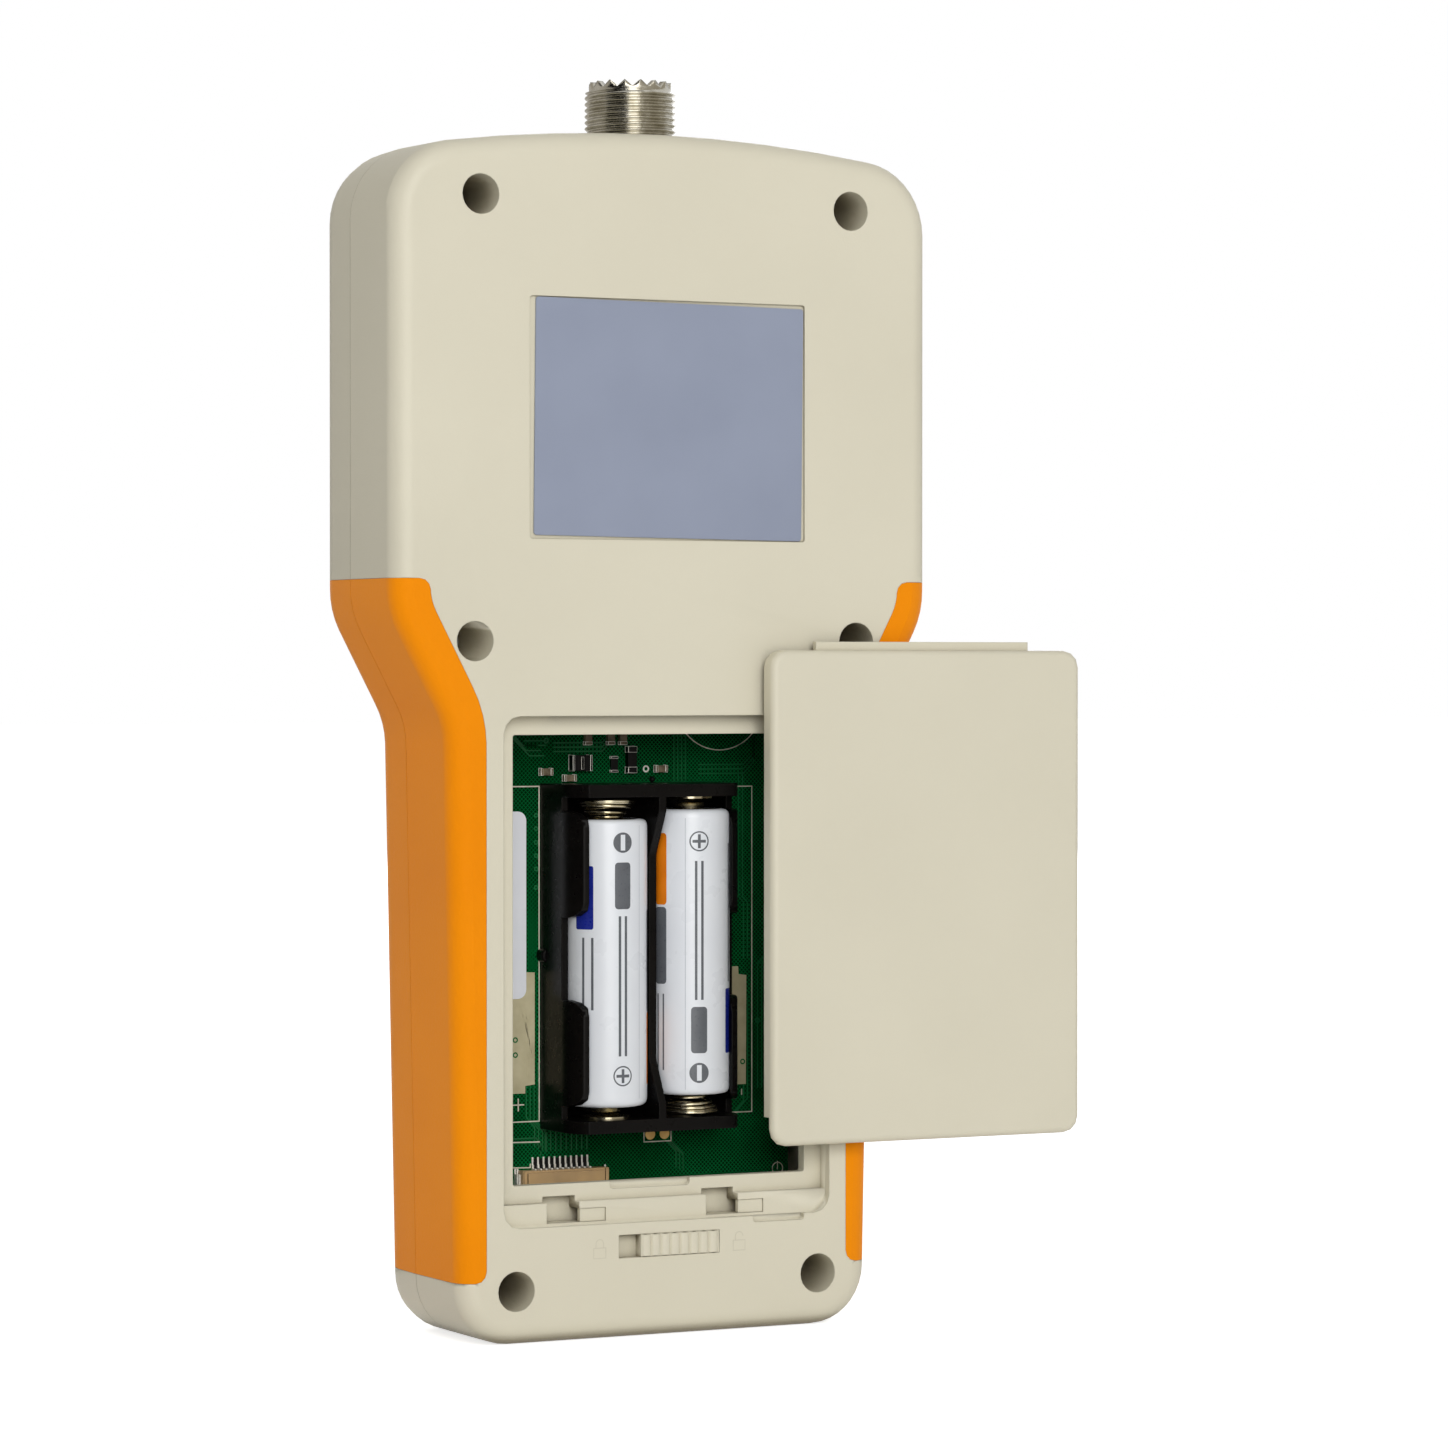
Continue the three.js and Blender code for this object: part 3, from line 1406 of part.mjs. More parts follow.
function buildSocketShell() {
  const flangeLow = flangeTopZ - socketFlangeThickness;
  const foot = flangeLow - socketTailLength;
  const tube = turnedZ(
    [
      [socketInnerBore, foot],
      [socketTailRadius, foot],
      [socketTailRadius, flangeLow + weld],
      [socketRadius, flangeLow + weld],
      [socketRadius, socketTipZ - socketNeckHeight - socketShoulder],
      [socketNeckRadius, socketTipZ - socketNeckHeight],
      [socketNeckRadius, socketTipZ],
      [socketBore, socketTipZ],
      [socketBore, foot + socketStepHeight],
      [socketInnerBore, foot + socketStepHeight],
      [socketInnerBore, foot],
    ],
    fineSides,
  );
  const wide = socketFlangeX / 2;
  const deep = socketFlangeY / 2;
  const plate = prismZ(roundedRectangle(-wide, wide, -deep, deep, socketFlangeRadius), flangeLow, flangeTopZ);
  let shell = tube.add(plate.subtract(rodZ(socketBore + weld, flangeLow - overrun, flangeTopZ + overrun, 0, 0)));
  shell = shell.subtract(toothGaps());
  place("socket_shell", shell, nickelFinish(), 0, socketY, 0);
  return foot;
}

// V cuts across the socket's rim: each opens two gaps, and leaves pointed teeth between them.
function toothGaps() {
  const spread = socketNeckRadius * Math.tan(Math.PI / socketTeeth);
  const past = (socketToothDepth + overrun) / socketToothDepth;
  const wedge = [
    new THREE.Vector2(0, socketTipZ - socketToothDepth),
    new THREE.Vector2(spread * past, socketTipZ + overrun),
    new THREE.Vector2(-spread * past, socketTipZ + overrun),
  ];
  const reach = socketRadius + overrun;
  const cut = prismX(wedge, -reach, reach);
  const cuts = [];
  const toothTurn = THREE.MathUtils.radToDeg(fullTurn / socketTeeth);
  for (let i = 0; i < socketTeeth / 2; i++) cuts.push(cut.rotate([0, 0, i * toothTurn]));
  return cuts.reduce((joined, gap) => joined.add(gap));
}

function buildSocketInside(foot) {
  const seat = foot + socketStepHeight;
  const faceZ = socketTipZ - insulatorDrop;
  const hole = contactOuterRadius + slideGap;
  const ring = turnedZ(
    [
      [hole, seat],
      [socketBore - slideGap, seat],
      [socketBore - slideGap, faceZ],
      [hole, faceZ],
      [hole, seat],
    ],
    fineSides,
  );
  place("socket_insulator", ring, insulatorFinish(), 0, socketY, 0);
  const tip = socketTipZ - contactDrop;
  const pin = turnedZ([
    [0, seat - contactPinLength],
    [contactPinRadius, seat - contactPinLength],
    [contactPinRadius, seat],
    [contactOuterRadius, seat],
    [contactOuterRadius, tip],
    [contactBoreRadius, tip],
    [contactBoreRadius, tip - contactBoreDepth],
    [0, tip - contactBoreDepth],
  ]);
  place("socket_contact", pin, nickelFinish(), 0, socketY, 0);
  return seat - contactPinLength;
}

// A short lead from the contact's pin to its pad on the board.
function buildLead(pinEndZ) {
  const topZ = pinEndZ - fitGap - leadRadius;
  const padY = boardBackY + leadRadius + seatGap;
  const corners = [
    [socketY + leadRadius, topZ, 0],
    [padY, topZ, leadBend],
    [padY, topZ - leadDrop - leadFoot, 0],
  ];
  const points = filleted(corners).map((point) => new THREE.Vector3(0, point.x, point.y));
  const path = new THREE.CatmullRomCurve3(points);
  const ring = new THREE.Shape().absarc(0, 0, leadRadius, 0, fullTurn);
  const options = { steps: roundSides / 2, extrudePath: path, curveSegments: cornerSteps, bevelEnabled: false };
  place("socket_lead", solidOf(new THREE.ExtrudeGeometry(ring, options)), nickelFinish());
}

function buildSocket() {
  const foot = buildSocketShell();
  buildLead(buildSocketInside(foot));
}

function buildUsbSocket() {
  const half = usbWidth / 2;
  let socket = box(-half, half, 0, usbHeight, 0, usbLength);
  socket = socket.subtract(
    box(-half + usbShell, half - usbShell, usbShell, usbHeight - usbShell, -overrun, usbMouthDepth),
  );
  const middle = usbHeight / 2;
  const tongueHalf = usbTongueWidth / 2;
  const thin = usbTongueThickness / 2;
  socket = socket.add(box(-tongueHalf, tongueHalf, middle - thin, middle + thin, usbShell, usbMouthDepth + weld));
  place("usb_socket", socket, nickelFinish(), usbX, usbFrontY, usbInset);
}

buildRearShell();
buildFrontShell();
buildGrips(1, "left");
buildGrips(-1, "right");
buildCover();
buildLatch();
buildLabel();
buildCaseScrews();
buildBoard();
buildShieldAndBeeper();
buildHolder();
buildCells();
buildContacts();
buildSprings();
buildOverlayAndMembrane();
buildKeys();
buildTail();
buildRibbonSocket();
buildDisplay();
buildSocket();
buildUsbSocket();

export default analyzer;
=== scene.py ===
import json
from math import cos, degrees, pi, radians, sin, sqrt, tan

import bmesh
import bpy
import numpy
from mathutils import Matrix, Vector
from mathutils.bvhtree import BVHTree


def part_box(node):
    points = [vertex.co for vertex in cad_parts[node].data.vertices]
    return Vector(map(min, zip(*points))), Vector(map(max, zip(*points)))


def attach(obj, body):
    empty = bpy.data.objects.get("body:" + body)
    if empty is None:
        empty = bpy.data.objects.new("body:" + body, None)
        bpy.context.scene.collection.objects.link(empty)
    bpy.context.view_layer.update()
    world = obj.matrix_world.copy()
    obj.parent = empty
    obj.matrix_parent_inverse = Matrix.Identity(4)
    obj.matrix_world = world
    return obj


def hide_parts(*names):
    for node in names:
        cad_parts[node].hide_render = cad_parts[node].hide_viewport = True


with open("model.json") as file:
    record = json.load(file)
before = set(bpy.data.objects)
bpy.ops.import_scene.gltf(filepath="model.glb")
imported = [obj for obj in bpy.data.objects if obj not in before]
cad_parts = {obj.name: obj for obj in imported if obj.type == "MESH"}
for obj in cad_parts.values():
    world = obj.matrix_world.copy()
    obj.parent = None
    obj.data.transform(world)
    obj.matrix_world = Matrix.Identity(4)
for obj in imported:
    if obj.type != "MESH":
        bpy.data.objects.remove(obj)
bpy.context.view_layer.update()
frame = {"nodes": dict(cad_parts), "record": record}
mm = 0.001
print("frame loaded")


# small helpers for nodes and meshes

sampling = {"bevel": 6, "paintedShade": 6, "noiseLow": 0.3, "noiseHigh": 0.7, "detail": 2, "grainDetail": 3}


def rgb(red, green, blue):
    # screen colours 0-255 to the linear values that shaders want
    def linear(v):
        v = v / 255
        return v / 12.92 if v <= 0.04045 else ((v + 0.055) / 1.055) ** 2.4
    return linear(red), linear(green), linear(blue), 1


def startMaterial(name):
    paint = bpy.data.materials.new(name)
    paint.use_nodes = True
    return paint, paint.node_tree.nodes["Principled BSDF"]


def addNode(owner, kind, **settings):
    node = owner.node_tree.nodes.new(kind)
    for key, value in settings.items():
        setattr(node, key, value)
    return node


def setInputs(node, values):
    for key, value in values.items():
        node.inputs[key].default_value = value


def wire(owner, source, target):
    owner.node_tree.links.new(source, target)


def objectCoords(owner):
    return addNode(owner, "ShaderNodeTexCoord").outputs["Object"]


def noise(owner, size, detail=sampling["detail"]):
    texture = addNode(owner, "ShaderNodeTexNoise")
    setInputs(texture, {"Scale": 1 / size, "Detail": detail})
    wire(owner, objectCoords(owner), texture.inputs["Vector"])
    return texture.outputs["Fac"]


def remap(owner, source, low, high, newLow, newHigh):
    node = addNode(owner, "ShaderNodeMapRange")
    setInputs(node, {"From Min": low, "From Max": high, "To Min": newLow, "To Max": newHigh})
    wire(owner, source, node.inputs["Value"])
    return node.outputs["Result"]


def spread(owner, texture, newLow, newHigh):
    # the middle of a noise stretched over a whole range
    return remap(owner, texture, sampling["noiseLow"], sampling["noiseHigh"], newLow, newHigh)


def mixColours(owner, factor, first, second):
    node = addNode(owner, "ShaderNodeMix", data_type="RGBA")
    wire(owner, factor, node.inputs["Factor"])
    for value, target in ((first, node.inputs["A"]), (second, node.inputs["B"])):
        if isinstance(value, tuple):
            target.default_value = value
        else:
            wire(owner, value, target)
    return node.outputs["Result"]


def maths(owner, operation, first, second=0.0):
    node = addNode(owner, "ShaderNodeMath", operation=operation)
    for i, value in enumerate((first, second)):
        if isinstance(value, (int, float)):
            node.inputs[i].default_value = value
        else:
            wire(owner, value, node.inputs[i])
    return node.outputs["Value"]


def addBump(owner, shader, height, depth, edge=0.0):
    # the height field in metres, with softened edges where the moulding has them
    bump = addNode(owner, "ShaderNodeBump")
    setInputs(bump, {"Strength": 1, "Distance": depth})
    wire(owner, height, bump.inputs["Height"])
    if edge:
        bevel = addNode(owner, "ShaderNodeBevel", samples=sampling["bevel"])
        setInputs(bevel, {"Radius": edge})
        wire(owner, bevel.outputs["Normal"], bump.inputs["Normal"])
    wire(owner, bump.outputs["Normal"], shader.inputs["Normal"])


def seenRays(owner):
    # 1 for rays that the camera, bright metal or glass sends out, 0 for light that falls on the object
    rays = addNode(owner, "ShaderNodeLightPath")
    seen = maths(owner, "MAXIMUM", rays.outputs["Is Glossy Ray"], rays.outputs["Is Transmission Ray"])
    return maths(owner, "MAXIMUM", rays.outputs["Is Camera Ray"], seen)


def meshFrom(name, bm, paints):
    mesh = bpy.data.meshes.new(name)
    bm.to_mesh(mesh)
    bm.free()
    for paint in paints:
        mesh.materials.append(paint)
    return mesh


def shadeSmooth(mesh):
    mesh.polygons.foreach_set("use_smooth", [True] * len(mesh.polygons))


def placeObject(name, data):
    made = bpy.data.objects.new(name, data)
    bpy.context.collection.objects.link(made)
    return made


def circle(steps):
    # directions round a full turn
    angles = [2 * pi * k / steps for k in range(steps)]
    return [(cos(angle), sin(angle)) for angle in angles]


def skinRings(bm, rings, closed=True):
    # a band of faces from each ring of points to the next
    bands = []
    for lower, upper in zip(rings, rings[1:]):
        count = len(lower)
        pairs = [(k, (k + 1) % count) for k in range(count if closed else count - 1)]
        bands.append([bm.faces.new((lower[k], lower[j], upper[j], upper[k])) for k, j in pairs])
    return bands


def skinBody(bm, rings):
    # a closed body: bands along its rings, and flat ends
    bands = skinRings(bm, rings)
    ends = [bm.faces.new(rings[0]), bm.faces.new(rings[-1])]
    bmesh.ops.recalc_face_normals(bm, faces=bm.faces)
    return bands, ends


# finishes

finishes = {
    # two colours that mottle; sizes of mottling and grain, and the grain's depth; roughness from and to;
    # what else it has; sizes, edges and the painted shade's reach in mm
    # the case paints shade into its recesses and deep wells: a dark colour mixed in by ambient occlusion
    "casePlastic": ((219, 213, 192), (214, 208, 187), (50, 0.35, 0.02), (0.42, 0.58), {
        "edge": 0.3, "shine": 0.25, "paintedShadeColour": (140, 130, 106), "paintedShade": [(3, 0.05, 0.7), (14, 0, 0.21)]}),
    "gripRubber": ((248, 146, 2), (242, 139, 0), (30, 0.5, 0.04), (0.55, 0.72), {
        "edge": 0.2, "shine": 0.03, "sheen": 0.65, "sheenTint": (255, 184, 122)}),
    "labelFilm": ((145, 153, 173), (139, 147, 167), (20, 0.9, 0.008), (0.34, 0.46), {"shine": 0.45}),
    "holderPlastic": ((14, 12, 11), (8, 7, 7), (12, 1.2, 0.003), (0.26, 0.34), {"edge": 0.3, "shine": 0.1}),
    "cellSleeve": ((225, 228, 232), (221, 224, 229), (20, 6, 0.002), (0.26, 0.32), {"shine": 0.4}),
    "nickelPlate": ((214, 206, 182), (190, 180, 152), (4, 0.4, 0.004), (0.14, 0.26), {"metal": 1}),
    "socketNickel": ((196, 193, 184), (166, 161, 146), (2.2, 0.3, 0.014), (0.14, 0.28), {"metal": 1}),
    "zincSteel": ((168, 168, 164), (128, 128, 126), (3, 0.3, 0.008), (0.3, 0.45), {"metal": 1}),
    "insulatorPlastic": ((234, 231, 222), (224, 220, 208), (4, 0.4, 0.01), (0.35, 0.5), {}),
    # the ribbon socket body paints shade into its recesses the same way
    "ribbonPlastic": ((200, 164, 114), (176, 146, 106), (6, 0.3, 0.012), (0.35, 0.5), {
        "edge": 0.1, "paintedShadeColour": (84, 66, 44), "paintedShade": [(3, 0.05, 0.72)]}),
    "amberFilm": ((196, 150, 74), (178, 132, 60), (6, 0.8, 0.006), (0.25, 0.4), {}),
    "overlayFilm": ((58, 66, 80), (52, 59, 72), (20, 0.3, 0.012), (0.42, 0.56), {"edge": 0.1}),
    "keyRubber": ((98, 110, 131), (90, 101, 121), (8, 0.3, 0.014), (0.5, 0.64), {"edge": 0.2, "sheen": 0.05}),
    "darkPlastic": ((42, 44, 48), (32, 34, 38), (10, 0.4, 0.01), (0.4, 0.52), {"edge": 0.2}),
    "traceGreen": ((24, 106, 58), (14, 90, 46), (4, 0.4, 0.005), (0.3, 0.42), {"shine": 0.2}),
    "silkInk": ((226, 216, 198), (200, 192, 172), (1.2, 0.2, 0.008), (0.5, 0.65), {}),
    "goldPad": ((226, 190, 124), (196, 154, 88), (2, 0.3, 0.01), (0.3, 0.42), {"metal": 0.5}),
    "tanPad": ((196, 186, 150), (176, 166, 130), (3, 0.5, 0.02), (0.45, 0.6), {}),
    "paperSticker": ((232, 233, 238), (225, 227, 232), (10, 0.6, 0.01), (0.5, 0.62), {}),
    "chipBlack": ((14, 13, 12), (8, 8, 8), (2, 0.2, 0.01), (0.4, 0.55), {"shine": 0.15}),
    "chipTan": ((134, 120, 96), (100, 88, 68), (1, 0.2, 0.01), (0.35, 0.5), {"shine": 0.25}),
    "solderTin": ((252, 249, 240), (218, 213, 200), (0.6, 0.2, 0.012), (0.24, 0.4), {"metal": 0.15}),
    "inkGrey": ((98, 101, 106), (90, 93, 98), (3, 0.4, 0.004), (0.26, 0.34), {"shine": 0.3}),
    "inkBlue": ((26, 40, 140), (20, 33, 124), (3, 0.4, 0.004), (0.26, 0.34), {"shine": 0.3}),
    "inkOrange": ((232, 128, 14), (220, 116, 8), (3, 0.4, 0.004), (0.34, 0.44), {"shine": 0.2}),
    "inkSeam": ((192, 196, 202), (182, 186, 192), (3, 0.4, 0.004), (0.26, 0.34), {"shine": 0.3}),
    "keyInk": ((236, 238, 240), (226, 228, 230), (3, 0.3, 0.006), (0.45, 0.6), {}),
    # padlock outlines: a darker tone that paints the shade of shallow moulded grooves
    "paintedGrooveShade": ((209, 203, 182), (204, 198, 176), (4, 0.3, 0.01), (0.5, 0.65), {}),
    # screw crosses: a dark tone that paints the shade inside a recess
    "paintedRecessShade": ((40, 40, 40), (28, 28, 28), (1, 0.2, 0.01), (0.4, 0.55), {"metal": 0.8}),
}


def mouldedFinish(name, light, dark, sizes, gloss, look):
    # a moulded or coated surface: mottled colour, fine grain, slightly uneven gloss
    paint, shader = startMaterial(name)
    mottleSize, grainSize, grainDepth = (size * mm for size in sizes)
    mottle = spread(paint, noise(paint, mottleSize), 0, 1)
    colour = mixColours(paint, mottle, rgb(*light), rgb(*dark))
    for reach, deepest, shallowest in look.get("paintedShade", []):
        # painted shade: a dark colour mixed in where ambient occlusion finds recesses and deep wells
        paintedShade = addNode(paint, "ShaderNodeAmbientOcclusion", samples=sampling["paintedShade"])
        setInputs(paintedShade, {"Distance": reach * mm})
        openness = remap(paint, paintedShade.outputs["AO"], deepest, shallowest, 0, 1)
        colour = mixColours(paint, openness, rgb(*look["paintedShadeColour"]), colour)
    wire(paint, colour, shader.inputs["Base Color"])
    grain = noise(paint, grainSize, sampling["grainDetail"])
    wire(paint, spread(paint, grain, *gloss), shader.inputs["Roughness"])
    setInputs(shader, {
        "Metallic": look.get("metal", 0), "Specular IOR Level": look.get("shine", 0.5),
        "Sheen Weight": look.get("sheen", 0), "Sheen Tint": rgb(*look.get("sheenTint", (255, 255, 255))),
    })
    addBump(paint, shader, grain, grainDepth, look.get("edge", 0) * mm)
    return paint


material = {name: mouldedFinish(name, *row) for name, row in finishes.items()}
print("finishes made:", len(material))

boardLook = {
    "mask": (rgb(0, 46, 15), rgb(0, 36, 10)), "mottle": 6 * mm, "grain": 0.8 * mm, "gloss": (0.34, 0.46),
    "hatch": rgb(16, 126, 66), "pitch": 0.74 * mm, "line": (0.7, 0.97), "copperDepth": 0.01 * mm, "shine": 0,
    "patch": 22 * mm, "patchDetail": 1, "patchFrom": (0.4, 0.52), "patchTo": (0.6, 1),
}


def objectAxes(paint):
    split = addNode(paint, "ShaderNodeSeparateXYZ")
    wire(paint, objectCoords(paint), split.inputs["Vector"])
    return split.outputs["X"], split.outputs["Z"]


def wave(paint, distance, pitch):
    return maths(paint, "SINE", maths(paint, "MULTIPLY", distance, 2 * pi / pitch))


def boardFinish():
    # green solder mask over a cross-hatched copper plane that shows in patches
    paint, shader = startMaterial("boardMask")
    across, up = objectAxes(paint)
    ways = (maths(paint, way, across, up) for way in ("ADD", "SUBTRACT"))
    rising, falling = (wave(paint, way, boardLook["pitch"]) for way in ways)
    lines = remap(paint, maths(paint, "MAXIMUM", rising, falling), *boardLook["line"], 0, 1)
    patches = noise(paint, boardLook["patch"], boardLook["patchDetail"])
    patches = remap(paint, patches, *boardLook["patchFrom"], *boardLook["patchTo"])
    copper = maths(paint, "MULTIPLY", lines, patches)
    mottle = spread(paint, noise(paint, boardLook["mottle"]), 0, 1)
    mask = mixColours(paint, mottle, *boardLook["mask"])
    wire(paint, mixColours(paint, copper, mask, boardLook["hatch"]), shader.inputs["Base Color"])
    gloss = spread(paint, noise(paint, boardLook["grain"]), *boardLook["gloss"])
    wire(paint, gloss, shader.inputs["Roughness"])
    setInputs(shader, {"Specular IOR Level": boardLook["shine"]})
    addBump(paint, shader, copper, boardLook["copperDepth"])
    return paint


windowLook = {
    "border": rgb(14, 15, 17), "panel": (rgb(74, 84, 82), rgb(66, 76, 75)), "half": (29.5 * mm, 21.5 * mm),
    "middle": 152.1 * mm, "pixel": 0.28 * mm, "line": (0.6, 1), "grain": 10 * mm, "gloss": (0.05, 0.1),
    "coat": 0.6, "coatGloss": 0.04,
}


def windowFinish():
    # a clear pane printed black round its edge, with the dull panel behind the rest
    pane, shader = startMaterial("windowPane")
    across, height = objectAxes(pane)
    up = maths(pane, "SUBTRACT", height, windowLook["middle"])
    insideX, insideZ = (maths(pane, "LESS_THAN", maths(pane, "ABSOLUTE", place), half)
                        for place, half in zip((across, up), windowLook["half"]))
    inside = maths(pane, "MULTIPLY", insideX, insideZ)
    columns, rows = (wave(pane, place, windowLook["pixel"]) for place in (across, up))
    grid = remap(pane, maths(pane, "MAXIMUM", columns, rows), *windowLook["line"], 0, 1)
    panel = mixColours(pane, grid, *windowLook["panel"])
    wire(pane, mixColours(pane, inside, windowLook["border"], panel), shader.inputs["Base Color"])
    gloss = spread(pane, noise(pane, windowLook["grain"]), *windowLook["gloss"])
    wire(pane, gloss, shader.inputs["Roughness"])
    setInputs(shader, {"Coat Weight": windowLook["coat"], "Coat Roughness": windowLook["coatGloss"]})
    return pane


material["boardMask"] = boardFinish()
material["windowPane"] = windowFinish()

nodeFinish = {
    "casePlastic": ["front_shell", "rear_shell", "battery_cover", "cover_latch"],
    "gripRubber": ["rear_grip_left", "rear_grip_right", "front_grip_left", "front_grip_right"],
    "labelFilm": ["back_label"],
    "boardMask": ["main_board"],
    "holderPlastic": ["battery_holder"],
    "cellSleeve": ["cell_left", "cell_right"],
    "nickelPlate": ["contact_left", "contact_right", "spring_left", "spring_right", "socket_contact",
                    "socket_lead", "usb_socket", "shield_can"],
    "insulatorPlastic": ["socket_insulator"],
    "ribbonPlastic": ["keypad_socket"],
    "amberFilm": ["keypad_tail", "keypad_membrane"],
    "overlayFilm": ["keypad_overlay"],
    "windowPane": ["display_window"],
    "darkPlastic": ["display_module", "display_carrier", "beeper"],
    "socketNickel": ["socket_shell"],
}
for name in frame["nodes"]:
    if name.startswith("key_"):
        nodeFinish.setdefault("keyRubber", []).append(name)
    if "_screw_" in name:
        nodeFinish.setdefault("zincSteel", []).append(name)
for finish, names in nodeFinish.items():
    for name in names:
        for place in frame["nodes"][name].material_slots:
            place.material = material[finish]
print("CAD nodes dressed")

bodyOf = {node: body for body, nodes in frame["record"]["behaviour"]["bodies"].items() for node in nodes}
rounding = {
    "sharp": 32,  # degrees between faces that still count as one curve
    "flat": 0.3,  # degrees between faces that count as one flat
    "weld": 0.001 * mm,
    "finishes": ["casePlastic", "gripRubber", "holderPlastic", "nickelPlate", "insulatorPlastic", "keyRubber",
                 "zincSteel", "overlayFilm", "amberFilm"],
}
seams = {
    "width": 0.26 * mm, "left": 0.03 * mm, "start": 0.001 * mm, "even": 0.1,
    "pieces": {"rear_grip_left": "rear_shell", "rear_grip_right": "rear_shell", "cover_latch": "rear_shell",
               "front_grip_left": "front_shell", "front_grip_right": "front_shell"},
}


def closeSeam(bm, neighbour):
    # faces that look across a narrow seam move over it, and the others slide along themselves
    shell = frame["nodes"][neighbour].data
    faces = [face.vertices[:] for face in shell.polygons]
    tree = BVHTree.FromPolygons([vert.co for vert in shell.vertices], faces)
    steps = {}
    for face in bm.faces:
        start = face.calc_center_median() + face.normal * seams["start"]
        hit = tree.ray_cast(start, face.normal, seams["width"])
        steps[face] = 0 if hit[0] is None else max(0, hit[3] - seams["left"])
    moves = {}
    for vert in bm.verts:
        wanted = [steps[face] for face in vert.link_faces]
        if any(wanted):
            normals = [face.normal[:] for face in vert.link_faces]
            moves[vert] = Vector(numpy.linalg.lstsq(normals, wanted, rcond=seams["even"])[0])
    for vert, move in moves.items():
        vert.co += move


def roundNode(name):
    # the CAD piece again, its facets shaded as the curves they stand for
    source = frame["nodes"][name]
    bm = bmesh.new()
    bm.from_mesh(source.data)
    bmesh.ops.remove_doubles(bm, verts=bm.verts, dist=rounding["weld"])
    if name in seams["pieces"]:
        bm.normal_update()
        closeSeam(bm, seams["pieces"][name])
    flat = radians(rounding["flat"])
    bmesh.ops.dissolve_limit(bm, angle_limit=flat, verts=bm.verts, edges=bm.edges)
    mesh = meshFrom("round_" + name, bm, [source.material_slots[0].material])
    mesh.polygons.foreach_set("material_index", [0] * len(mesh.polygons))
    shadeSmooth(mesh)
    mesh.set_sharp_from_angle(angle=radians(rounding["sharp"]))
    piece = placeObject(mesh.name, mesh)
    weighted = piece.modifiers.new("weighted", "WEIGHTED_NORMAL")
    weighted.keep_sharp = True
    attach(piece, bodyOf[name])
    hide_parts(name)


for finish in rounding["finishes"]:
    for name in nodeFinish[finish]:
        if "spring" not in name:  # these are wound anew below
            roundNode(name)
print("curves smoothed")


# mesh makers, all in millimetres

def finishPiece(name, bm, finishNames, body, smooth=False):
    bmesh.ops.transform(bm, matrix=Matrix.Scale(mm, 4), verts=bm.verts)
    mesh = meshFrom(name, bm, [material[finish] for finish in finishNames])
    if smooth:
        shadeSmooth(mesh)
    piece = placeObject(name, mesh)
    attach(piece, body)
    return piece


bevelShape = {"segments": 2, "profile": 0.6}


def addBlock(bm, low, high, bevel=0.0, finish=0):
    made = bmesh.ops.create_cube(bm, size=1)
    size = Vector(high) - Vector(low)
    middle = (Vector(high) + Vector(low)) / 2
    matrix = Matrix.Translation(middle) @ Matrix.Diagonal((*size, 1))
    bmesh.ops.transform(bm, matrix=matrix, verts=made["verts"])
    faces = {face for vert in made["verts"] for face in vert.link_faces}
    if bevel:
        edges = {edge for vert in made["verts"] for edge in vert.link_edges}
        rounded = bmesh.ops.bevel(bm, geom=list(edges), offset=bevel, affect="EDGES", **bevelShape)
        faces = {face for face in faces if face.is_valid} | set(rounded["faces"])
    for face in faces:
        face.material_index = finish


def addSlab(bm, outline, low, high):
    # a closed plate: an outline in X and Z between two depths in Y
    rings = [[bm.verts.new((x, y, z)) for x, z in outline] for y in (low, high)]
    faces = [bm.faces.new(rings[0]), bm.faces.new(rings[1][::-1])] + skinRings(bm, rings)[0]
    bmesh.ops.recalc_face_normals(bm, faces=faces)


def addLine(bm, points, width, low, high, closed=False, sharpest=0.4):
    # a drawn line of even width along points in X and Z, its sharp corners cut short
    path = [Vector(point) for point in points]
    count = len(path)
    sides = []
    for i in range(count):
        before = path[(i - 1) % count] if closed or i else path[i]
        after = path[(i + 1) % count] if closed or i + 1 < count else path[i]
        first, second = (path[i] - before).normalized(), (after - path[i]).normalized()
        first, second = first if first.length else second, second if second.length else first
        along = (first + second).normalized()
        normal = Vector((-along.y, along.x))
        reach = width / 2 / max(sharpest, normal.dot(Vector((-first.y, first.x))))
        sides.append((path[i] + normal * reach, path[i] - normal * reach))
    for i in range(count if closed else count - 1):
        (a, b), (c, d) = sides[i], sides[(i + 1) % count]
        addSlab(bm, [a, c, d, b], low, high)


def addDisc(bm, centre, radius, low, high, hole=0.0, steps=20):
    def ring(reach):
        return [(centre[0] + reach * c, centre[1] + reach * s) for c, s in circle(steps)]
    if hole:
        addLine(bm, ring((radius + hole) / 2), radius - hole, low, high, True)
    else:
        addSlab(bm, ring(radius), low, high)


def roundedBox(x0, x1, z0, z1, radius, steps=4):
    points = []
    x0, x1, z0, z1 = x0 + radius, x1 - radius, z0 + radius, z1 - radius
    for x, z, start in ((x1, z1, 0), (x0, z1, 90), (x0, z0, 180), (x1, z0, 270)):
        for i in range(steps + 1):
            angle = radians(start + 90 * i / steps)
            points.append((x + radius * cos(angle), z + radius * sin(angle)))
    return points


# threaded socket

